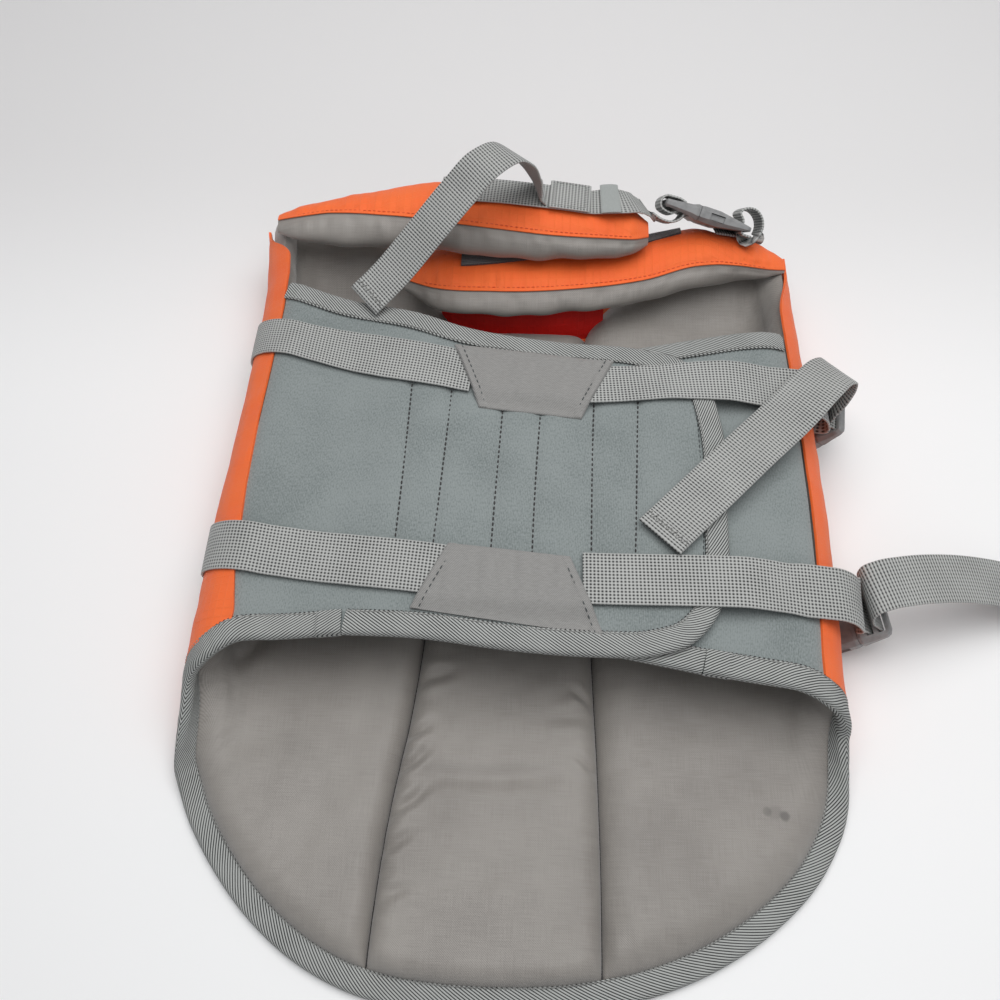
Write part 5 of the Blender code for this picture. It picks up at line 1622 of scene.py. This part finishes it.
@dataclass
class StrapPatch:
    """A trapezoid patch sewn over two straps' ends, its long edge along the flap's tape.

    Each parallel edge has its middle (x, y) and slope; `strap_y` is the straps' height at the ends
    of `strap_x`.
    """

    kit: Wardrobe
    name: str
    node: str
    long_at: Row
    short_at: Row
    strap_y: Row
    long_half: float = 45.5
    short_half: float = 28.5
    depth: float = 42.0
    cloth: float = 1.0
    hem: float = 5.2
    inset: float = 4.29
    strap_x: Row = (-33, 29)

    def edge(self, middle: Row, half: float) -> Array:
        """Pattern points of one of the parallel edges."""
        along = np.linspace(-half, half, 90)
        x, y = middle[0] + along, middle[1] + middle[2] * along
        return np.stack([BODY.on_belly(-1, x, y), y], axis=1)

    def level(self, s: Array, y: Array) -> Array:
        """Underside: on the straps where they lie, and eased down to the neoprene beside them."""
        start = BODY.curl_start(-1, y)
        x = -(2 * start + BODY.curl * math.pi - np.abs(s))
        middle = np.interp(x, self.strap_x, self.strap_y)
        on_strap = ease((24 - np.abs(y - middle)) / 12)
        return -1.35 + 3.75 * on_strap

    def build(self) -> None:
        """Make the patch, its folded sides and its dashed stitch lines."""
        near = self.edge(self.long_at, self.long_half)
        far = self.edge(self.short_at, self.short_half)
        shares = rim_shares(self.depth, 44, 0.5)
        s, y = ruled(near, far, shares)
        columns = np.linspace(0, 1, 90)[:, None]
        half = self.long_half + (self.short_half - self.long_half) * shares
        side_away = (1 - np.abs(2 * columns - 1)) * half
        fold = ease((self.hem - side_away) / 0.9) * 0.55
        rim = np.minimum(side_away, (1 - shares) * self.depth)
        rim = np.minimum(rim, shares * self.depth + 1)
        soft = 0.35 + 0.65 * np.sqrt(1 - (1 - np.clip(rim, 0, 1)) ** 2)
        wave_on = 0.42 * Ripple(13, 61).at(s, 0.35 * y)
        raised = BODY.flap_raise(s, y)
        low = self.level(s, y) + raised
        high = low + (self.cloth + fold + wave_on * ease(rim / 6)) * soft
        uv = np.stack([-s, y], axis=-1)
        patch = cloth_solid(self.name, BODY.worn(s, y, low), BODY.worn(s, y, high), uv)
        hand_over(patch, self.kit.patch, Slot.PATCH, self.node)
        long = self.edge(self.long_at, self.long_half - self.inset)
        short = self.edge(self.short_at, self.short_half - self.inset)
        rows = []
        for end in (0, -1):
            line = np.stack([long[end], long[end] + (short[end] - long[end]) * 0.93])
            s, y = smooth_curve(line, 60, 200).T
            level = self.level(s, y) + self.cloth + 0.42 + BODY.flap_raise(s, y)
            places = BODY.worn(s, y, level)
            rows.append((places, BODY.worn(s, y, level + 1) - places))
        sew(self.name + "_stitches", rows, self.kit.dark_thread, Slot.PATCH, Stitch(3.6, 2.6, 0.7))


# --- Buckles and what they hold ---


@dataclass(frozen=True)
class Place:
    """A place in space: turned about its own axis, tilted up at its far end, then turned round."""

    x: float
    y: float
    z: float
    yaw: float
    pitch: float
    roll: float = 0.0

    def matrix(self) -> Matrix:
        """Roll about x, then pitch, then yaw, then the move."""
        turn = Matrix.Rotation(math.radians(self.yaw), 4, "Z")
        tilt = Matrix.Rotation(math.radians(-self.pitch), 4, "Y")
        spin = Matrix.Rotation(math.radians(self.roll), 4, "X")
        return Matrix.Translation(Vector((self.x, self.y, self.z))) @ turn @ tilt @ spin

    def route(self, rows: Rows) -> list[Row]:
        """Webbing rows given in the buckle's own x and z, as places and ways in space."""
        place = self.matrix()
        across = place.to_3x3() @ Vector((0, 1, 0))
        bearing = math.degrees(math.atan2(across.y, across.x))
        rise = math.degrees(math.asin(max(-1, min(1, across.z))))
        turned = []
        for x, z in rows:
            point = place @ Vector((x, 0, z))
            turned.append((point.x, point.y, point.z, bearing, rise))
        return turned


FRONT_PLACE = Place(174.8, 332, 23.8, -7, 59)
REAR_PLACE = Place(180.7, 207, 19, 9, 38)
NECK_PLACE = Place(99.5, 451.5, 67.8, 168, 11, 50)


@dataclass
class LooseEnds:
    """The right straps with their buckles' loops and free tails, and the short loops behind."""

    kit: Wardrobe
    straps: BellyStraps
    round_bar: Rows = (
        (6.4, 10), (7, 5), (7.2, 0.5), (8, -3.5), (10.4, -4.7), (12.8, -3.6), (13.5, 0.5), (13.7, 6)
    )
    front_fall: Rows = ((168, 0.4), (156, 1.6), (146, 4), (136, 7), (124, 8.2), (112, 7.4))
    rear_fall: Rows = ((168, 0.4), (156, 1.4), (146, 3.4), (136, 6.5), (124, 9), (112, 10.5))
    front_tail: Rows = (
        # x, y, z of the centre, and the bearing and rise of the width
        (175, 330.5, 46, 92, 0), (176, 332, 56, 108, -5), (176, 334, 65, 122, -10),
        (173.5, 333.5, 70.8, 130, -12), (168.5, 330, 73.6, 135, -10), (161, 322, 75, 136, -6),
        (146, 304.5, 75, 136, 0), (120, 277.5, 74.4, 136, 0), (94, 250, 74, 136, 0),
        (68.5, 223, 74.2, 136, 0),
    )
    rear_tail: Rows = (
        (183.5, 207, 38, 100, 0), (182, 207.5, 44, 100, 0), (183.5, 208.5, 48.6, 100, 0),
        (190, 210.5, 51, 100, 0), (203, 214, 49.5, 100, 0), (230, 220, 41.5, 99, 0),
        (258, 224, 29.5, 96, 0), (284, 226, 15.5, 93, 0), (303, 226.5, 4.5, 92, 0),
        (316, 226.5, 1.2, 92, 0),
    )
    front_anchor: tuple[Rows, Rows, Rows] = (
        # from the side seam, round the socket's bar in the buckle's x and z, and back
        ((150, 333.5, 1, 83, 0), (157, 333.5, 1.3, 83, 0)),
        ((-24.6, -2.6), (-21, -2.9), (-19.3, 0), (-20.6, 2.9), (-24.5, 3)),
        ((156.5, 333.5, 3.2, 83, 0), (150.5, 333.5, 2.6, 83, 0)),
    )
    rear_anchor: tuple[Rows, Rows, Rows] = (
        ((153, 202.7, 1.1, 98, 0), (157, 203.2, 1.3, 99, 0)),
        ((-27.2, -2), (-23, -2.9), (-21.3, 0), (-22.6, 2.9), (-26, 2.8)),
        ((156.5, 203.2, 3.6, 99, 0), (154.5, 202.8, 2.8, 98, 0)),
    )

    def build(self) -> None:
        """Make both right straps with their tails, and both buckles' anchors."""
        belly = self.straps
        routes = (
            ("front", belly.front_right_y, belly.front_slant, belly.front_pinch, self.front_fall),
            ("rear", belly.rear_right_y, belly.rear_slant, belly.rear_pinch, self.rear_fall),
        )
        ends = ((FRONT_PLACE, self.front_tail, 200), (REAR_PLACE, self.rear_tail, 195))
        for (name, y, slant, pinch, fall), (place, tail, start) in zip(routes, ends):
            rows = belly.right_rows(y, slant, pinch, fall)
            rows = rows + place.route(self.round_bar) + [(*row, 0.95) for row in tail]
            strap, centre, across, normal = self.straps.ribbons.along(
                f"{name}_right_webbing", rows, self.straps.width, hem=9.5
            )
            hand_over(strap, self.kit.belly_web, Slot.WEBBING, f"{name}_strap_right")
            self.ribbed_from(strap, start)
            ends = zigzag(centre, across, normal, self.straps.width)
            thread = self.kit.grey_thread
            sew(f"{name}_tail_zigzag", [ends], thread, Slot.WEBBING, Stitch(1.7, 1.5, 0.6))
        for name, table, place in (
            ("front", self.front_anchor, FRONT_PLACE), ("rear", self.rear_anchor, REAR_PLACE)
        ):
            rows = list(table[0]) + place.route(table[1]) + list(table[2])
            loop, *_ = self.straps.ribbons.along(f"{name}_anchor_webbing", rows, self.straps.width)
            hand_over(loop, self.kit.belly_web, Slot.WEBBING, f"{name}_buckle_anchor")

    def ribbed_from(self, strap: Piece, start: float) -> None:
        """Give the webbing beyond a distance along it the ribbed face, from its UV map."""
        strap.data.materials.append(self.kit.tail_web)
        layer = strap.data.uv_layers[0].data
        uv = np.empty(len(layer) * 2, dtype=np.float32)
        layer.foreach_get("uv", uv)
        along = uv[1::2].reshape(-1, 4).mean(axis=1)
        strap.data.polygons.foreach_set("material_index", (along > start * MM).astype(np.int32))


def zigzag(centre: Array, across: Array, normal: Array, width: float) -> Line:
    """Zigzag path over a folded end: the centre 6 mm from it + across * u + along * triangle(u)."""
    along = unit(centre[-1] - centre[-5])
    u = np.linspace(-width / 2 + 1.5, width / 2 - 1.5, 160)
    tooth = np.abs((u / 3.4) % 1 - 0.5) * 2 - 0.5
    up = unit(normal[-1])
    path = centre[-1] - along * 6.4 + across[-1] * u[:, None] + along * (tooth * 3)[:, None]
    return path + up * 1.75, up + 0 * path


# --- Neck: flaps, hook patch, strap ---


@dataclass
class NeckFlaps:
    """The two padded flaps that close over the neck, the left one on top.

    Each is a roll: y = middle + depth cos(angle), z = height of the middle + height sin(angle),
    from rows of x, y and z of its middle, half depth and half height. Its cover is the upper half
    and its lining the lower one, and they meet at `back_deg` and, in front, at degrees for each x.
    """

    kit: Wardrobe
    back_deg: float = -25.0
    left_front: Rows = ((-160, 92), (-128, 96), (-95, 112), (-55, 128), (70, 140))
    right_front: Rows = ((-80, 130), (-30, 128), (60, 130), (115, 134), (157, 150))
    left: Rows = (
        (-160, 441, 60.6, 6, 3), (-148, 440.5, 61.4, 11.5, 6.5), (-128, 441.2, 62.9, 15.5, 9.6),
        (-98, 443, 65, 20, 12), (-62, 445, 66.2, 24, 14), (-25, 443, 66.4, 25, 14),
        (10, 440.5, 65.9, 24, 13.5), (42, 439.5, 64.8, 20, 12), (62, 439, 63.8, 15, 9),
        (70, 439, 63, 8, 4.5),
    )
    right: Rows = (
        (157, 429.5, 46.6, 4.5, 1.5), (149, 431.5, 46.6, 8.8, 4.6), (128, 434.5, 46.5, 15, 10),
        (114, 435.3, 46, 18.5, 12), (100, 435.3, 45.3, 21.5, 12.6), (70, 428.5, 41.5, 23.5, 10.8),
        (25, 422, 40, 26, 10.5), (-22, 418, 40, 26, 10.5), (-62, 418, 40.5, 22, 9),
        (-80, 420, 41, 12, 4.5),
    )

    def build(self) -> None:
        """Make both flaps, their seams' stitches and the hook patch."""
        for side, rows, fronts, seed in (
            ("left", self.left, self.left_front, 201), ("right", self.right, self.right_front, 233)
        ):
            cover = self.half(f"neck_{side}_cover_fabric", rows, fronts, 1, seed)
            hand_over(cover, self.kit.shell, Slot.SHELL, f"neck_flap_{side}_cover")
            lining = self.half(f"neck_{side}_lining_fabric", rows, fronts, -1, seed + 9)
            hand_over(lining, self.kit.lining, Slot.LINING, f"neck_flap_{side}_lining")
            table = smooth_curve(rows, 200)[12:-12]
            x = table[:, 0]
            degrees = np.interp(x, *np.asarray(fronts).T) - 7
            path = self.skin(table, x, degrees, 0.55)
            face = self.skin(table, x, degrees, 1.55) - path
            thread = self.kit.orange_thread
            topstitch = Stitch(3, 2.2, 0.55)
            sew(f"neck_{side}_seam_stitches", [(path, face)], thread, Slot.SHELL, topstitch)
        self.make_hook_patch()

    def half(self, name: str, rows: Rows, fronts: Rows, push: float, seed: int) -> Piece:
        """One half of a roll, between its skin and the flat that halves it.

        The skin swells by slow ripples and gathers into folds that run away from its two seams.

        Args:
            name: Name of the piece.
            rows: The roll's table.
            fronts: Angles of the front seam, at places x along the roll.
            push: 1 for the upper half, -1 for the lower one.
            seed: Number that fixes its folds.

        Returns:
            The piece, not dressed yet.
        """
        table = smooth_curve(rows, 150)
        shares = np.concatenate([[0, 0.012], np.linspace(0.035, 0.965, 40), [0.988, 1]])
        front = np.interp(table[:, 0], *np.asarray(fronts).T)[:, None]
        start = self.back_deg if push > 0 else front
        stop = front if push > 0 else 360 + self.back_deg
        angle = np.radians(start + (stop - start) * shares)
        depth, height = table[:, 3:4], table[:, 4:5]
        face_y, face_z = np.cos(angle) / depth, np.sin(angle) / height
        size = np.hypot(face_y, face_z)
        girth = np.radians(stop - start) * (depth + height) / 2
        near, far = shares * girth, (1 - shares) * girth
        run = run_along(table[:, :3])[:, None]
        run = run + 0 * near
        relief = 0.7 * Ripple(31, seed).at(run, near)
        relief += 0.9 * puckers(near, run, 13, 7, seed + 1)
        relief += 0.9 * puckers(far, run, 12, 7, seed + 2)
        seam_in = np.minimum(near, far)
        relief = relief * ease(seam_in / 5) - 0.5 * bump_at(seam_in - 2.4, 1.5)
        relief *= ease(height / 9)
        x = table[:, :1] + 0 * angle
        y = table[:, 1:2] + depth * np.cos(angle) + relief * face_y / size
        z = table[:, 2:3] + height * np.sin(angle) + relief * face_z / size
        skin = np.stack([x, y, z], axis=-1)
        part = shares[:, None]
        chord = skin[:, :1] * (1 - part) + skin[:, -1:] * part
        gap = np.array([0, 0, push * 0.15])
        rim = np.array([0, 0, push * 0.6])
        return cloth_solid(name, chord + gap, skin + gap + rim, np.stack([run, near], axis=-1))

    def skin(self, rows: Rows, x: Array, degrees: Array, out: float) -> Array:
        """Places on a roll's skin at x and an angle round it, moved out."""
        table = np.asarray(rows)
        order = np.argsort(table[:, 0])
        y, z, depth, height = (np.interp(x, table[order, 0], table[order, k]) for k in range(1, 5))
        angle = np.radians(degrees)
        cos, sin = np.cos(angle), np.sin(angle)
        face = unit(np.stack([0 * x, cos / depth, sin / height], axis=-1))
        return np.stack([x, y + depth * cos, z + height * sin], axis=-1) + face * out

    def make_hook_patch(self) -> None:
        """The long hook-and-loop patch on the right flap, which the left flap half covers."""
        along = np.linspace(-45, 92, 110)[:, None]
        around = np.linspace(88, 56, 110)[:, None] - np.linspace(36, 0, 24)
        x, degrees = np.broadcast_arrays(along, around)
        under = self.skin(self.right, x, degrees, 1.2)
        over = self.skin(self.right, x, degrees, 2.4)
        v = run_along(under[0])
        uv = np.stack(np.broadcast_arrays(x, v), axis=-1)
        patch = cloth_solid("neck_hook_pile", under, over, uv)
        hand_over(patch, self.kit.pile, Slot.PILE, "neck_hook_patch")

    def strap_row(self, x: float, degrees: float, out: float) -> Row:
        """A webbing row that touches the left flap's skin along its middle."""
        at = degrees + np.array([0.5, 0, -0.5])
        low, middle, high = self.skin(self.left, np.full(3, x), at, out)
        way = low - high
        rise = math.degrees(math.atan2(way[2], -way[1]))
        return (*middle, -90, rise)


@dataclass
class NeckStrap:
    """The neck's webbing with its patch, keeper, loose tail and its buckle's anchor."""

    kit: Wardrobe
    flaps: NeckFlaps
    ribbons: Ribbons = field(default_factory=Ribbons)
    width: float = 25.0
    on: float = 1.2
    cover_width: float = 29.0
    at: Row = (-58, -40, -20, 0, 20, 34)
    degrees: float = 66.0
    dip: Rows = (
        # x, y, z of the centre, and the bearing and rise of the width
        (44, 449, 79.2, -90, 12), (52, 449.3, 79.2, -90, 14), (58, 450.3, 77.8, -90, 18, 0.92),
        (63.5, 451.4, 74.4, -93, 28, 0.82), (68, 451.5, 70.6, -97, 38, 0.8),
    )
    keeper: Rows = (
        (39.5, 449, 81, -90, 12), (45.5, 449.2, 81.6, -90, 12), (51, 449.4, 81.4, -90, 13),
    )
    round_bar: Rows = (
        # x, z in the buckle
        (27, -8.3), (20, -10.2), (13, -9.4), (9, -5.8), (8.2, -1), (8.8, 3), (12.5, 4.6),
        (17.5, 4.6), (22, 4), (24.2, 0.6), (23, -3.2), (19, -4.8), (14.5, -5),
    )
    tail: Rows = (
        (5, 451.5, 82.8, -90, 13), (1.5, 451.5, 85.5, -86, 16), (-1.5, 451, 92, -72, 18),
        (-5, 449.5, 103, -56, 16), (-10, 447, 115, -48, 11), (-18, 442, 123.5, -44, 6),
        (-30, 433, 123.5, -42, 2), (-45, 421.5, 112, -42, 0), (-64, 406, 95, -42, 0),
        (-84, 389.5, 77.5, -42, 0), (-100, 376.5, 67.5, -42, 0),
    )
    anchor: Rows = (
        (113, 449.5, 55.6, -95, 32, 0.5), (121, 449, 54.4, -96, 36, 0.55),
        (130, 447.6, 53.6, -98, 42, 0.75),
    )
    anchor_round: Rows = (
        (-39.6, -2), (-40.2, 3.5), (-37.8, 9), (-32.5, 12.4), (-27.2, 11.6), (-24.4, 8.2),
        (-27.3, 4.6), (-28.4, 0.2), (-29.4, -3.4), (-33, -3.8), (-35.8, -3.6),
    )

    def build(self) -> None:
        """Make the strap, the patch and keeper over it, the tail and the anchor."""
        web = self.ribbons.thickness
        rows = [self.flaps.strap_row(x, self.degrees, self.on + web / 2) for x in self.at]
        rows += list(self.dip) + NECK_PLACE.route(self.round_bar)
        strap, *_ = self.ribbons.along("neck_webbing", rows, self.width, spacing=1)
        hand_over(strap, self.kit.belly_web, Slot.WEBBING, "neck_strap")
        above = self.on + 1.5 * web + 0.7
        rows = [self.flaps.strap_row(x, self.degrees, above) for x in (8.5, 21, 33.5)]
        patch, centre, across, normal = self.ribbons.along(
            "neck_patch_webbing", rows, self.cover_width, spacing=0.9
        )
        hand_over(patch, self.kit.belly_web, Slot.WEBBING, "neck_strap_patch")
        box = self.stitch_box(centre, across, normal)
        thread = self.kit.grey_thread
        sew("neck_patch_stitches", box, thread, Slot.WEBBING, Stitch(2.5, 1.9, 0.55))
        keeper, *_ = self.ribbons.along(
            "neck_keeper_band", self.keeper, self.cover_width, spacing=0.8
        )
        hand_over(keeper, self.kit.band, Slot.BINDING, "neck_strap_keeper")
        tail, centre, across, normal = self.ribbons.along(
            "neck_tail_webbing", self.tail, self.width, hem=8, spacing=1.2
        )
        hand_over(tail, self.kit.tail_web, Slot.WEBBING, "neck_strap_tail")
        ends = zigzag(centre, across, normal, self.width)
        sew("neck_tail_zigzag", [ends], thread, Slot.WEBBING, Stitch(1.7, 1.5, 0.6))
        rows = list(self.anchor) + NECK_PLACE.route(self.anchor_round)
        anchor, *_ = self.ribbons.along("neck_anchor_webbing", rows, self.width, spacing=1)
        hand_over(anchor, self.kit.tail_web, Slot.WEBBING, "neck_buckle_anchor")

    def stitch_box(self, centre: Array, across: Array, normal: Array) -> list[Line]:
        """Two stitch lines along the patch's ends and two along its sides, 2 mm inside."""
        up = normal * 0.85
        half = self.cover_width / 2 - 2.2
        span = np.linspace(-half, half, 30)[:, None]
        rows = [((centre + across * end + up)[3:-3], normal[3:-3]) for end in (-half, half)]
        for k in (3, -4):
            rows.append((centre[k] + across[k] * span + up[k], normal[k] + 0 * span))
        return rows


@dataclass
class Buckles:
    """The three side-release buckles, whose moulded halves are the model's own solids."""

    kit: Wardrobe
    nodes: dict[str, Piece]

    def build(self) -> None:
        """Dress both halves of each buckle."""
        for place in ("front", "rear", "neck"):
            for half in ("plug", "socket"):
                node = self.nodes[f"{place}_buckle_{half}"]
                node.data.materials.clear()
                node.data.materials.append(self.kit.plastic)
                LOG.info("%s: %d faces", node.name, len(node.data.polygons))


# --- Studio ---


@dataclass
class Studio:
    """A pale sweep with painted shade behind, soft lights and the camera, whose place is in jacket
    millimetres.

    It looks along a level heading (x, y), and so many degrees down.
    """

    lens: float = 39.6
    place: Row = (-5, -34.3, 583)
    heading: Row = (-0.0349, 0.9994)
    down: float = 61.5

    def build(self) -> None:
        """Make the floor, the lights, the surroundings and the camera."""
        self.make_floor()
        self.make_light("overhead_softbox", (0.04, 0.14, 1.25), (-0.02, 0.04, 0), 1.2, 14.6)
        self.make_light("front_fill", (0.3, -0.9, 1), (0, 0, 0.05), 0.9, 1.2)
        world = bpy.data.worlds.new("studio_surroundings")
        world.use_nodes = True
        background = world.node_tree.nodes["Background"]
        background.inputs["Color"].default_value = (0.93, 0.95, 1, 1)
        background.inputs["Strength"].default_value = 0.28
        bpy.context.scene.world = world
        bpy.context.scene.view_settings.view_transform = "Standard"
        self.make_camera()

    def make_floor(self) -> None:
        """Floor: flat, then rising behind as a quarter circle of radius 0.5 m and a wall."""
        turn = np.radians(np.arange(0, 91, 6))
        y = np.concatenate([[-3, 0, 0.6], 0.9 + 0.5 * np.sin(turn), [1.4]])
        z = np.concatenate([[0, 0, 0], 0.5 * (1 - np.cos(turn)), [2.5]])
        edges = [np.stack([np.full(len(y), x), y, z], axis=1) for x in (-3, 3)]
        row = np.arange(len(y) - 1)[:, None] * 2
        faces = row + np.array([0, 1, 3, 2])
        floor = new_piece("pale_floor", np.stack(edges, axis=1).reshape(-1, 3), faces)
        graph = Graph("pale_floor_painted_shade")
        parts = graph.node("ShaderNodeSeparateXYZ", None, {0: graph.space()})
        # The sweep darkens from 0.1 m to 0.34 m behind the jacket: painted shade for the dimmer
        # back wall.
        back = Value(graph, parts.outputs[1]).over(0.1, 0.34)
        colour = graph.blend(back, (0.895, 0.895, 0.89, 1), (0.76, 0.75, 0.745, 1))
        floor.data.materials.append(graph.finish(colour, 0.55, None, 0))

    def make_light(self, name: str, place: Row, aim: Row, size: float, power: float) -> None:
        """A square area light at a place, turned towards its aim."""
        lamp = bpy.data.lights.new(name, "AREA")
        lamp.shape, lamp.size, lamp.energy = "SQUARE", size, power
        light = bpy.data.objects.new(name, lamp)
        light.location = place
        light.rotation_euler = (Vector(aim) - Vector(place)).to_track_quat("-Z", "Y").to_euler()
        bpy.context.collection.objects.link(light)

    def make_camera(self) -> None:
        """The camera, at the place and way given in the jacket's millimetres."""
        data = bpy.data.cameras.new("camera")
        data.lens = self.lens
        data.sensor_width = 36
        data.clip_start = 0.01
        camera = bpy.data.objects.new("camera", data)
        camera.location = to_model(np.array(self.place))
        tilt = math.radians(self.down)
        level = [part * math.cos(tilt) for part in self.heading]
        way = Vector((*level, -math.sin(tilt)))
        camera.rotation_euler = way.to_track_quat("-Z", "Y").to_euler()
        bpy.context.collection.objects.link(camera)
        bpy.context.scene.camera = camera


def main(frame: dict) -> None:
    """Build and dress the jacket in the order of its making.
    """
    logging.basicConfig(level=logging.INFO, format="%(message)s")
    kit = Wardrobe()
    Studio().build()
    OuterShell(kit).build()
    BackPads(kit).build()
    BellyFlaps(kit).build()
    Bindings(kit).build()
    straps = BellyStraps(kit)
    straps.make_left(
        "front_left_webbing", "front_strap_left", straps.front_left, (0.9, 0.84, 0.8, 0.95, 0.92)
    )
    straps.make_left("rear_left_webbing", "rear_strap_left", straps.rear_left, (0.95,) * 5)
    front = ("front_patch_nylon", "front_strap_patch", (1, 339, -0.11), (0, 299, -0.1))
    StrapPatch(kit, *front, (327.5, 320.5)).build()
    rear = ("rear_patch_nylon", "rear_strap_patch", (-9, 174.4, -0.12), (-9, 213.3, -0.1))
    StrapPatch(kit, *rear, (200, 197.5), 49, 31.5).build()
    LooseEnds(kit, straps).build()
    flaps = NeckFlaps(kit)
    flaps.build()
    NeckStrap(kit, flaps).build()
    Buckles(kit, frame["nodes"]).build()


if __name__ == "__main__":
    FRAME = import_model()
    main(FRAME)
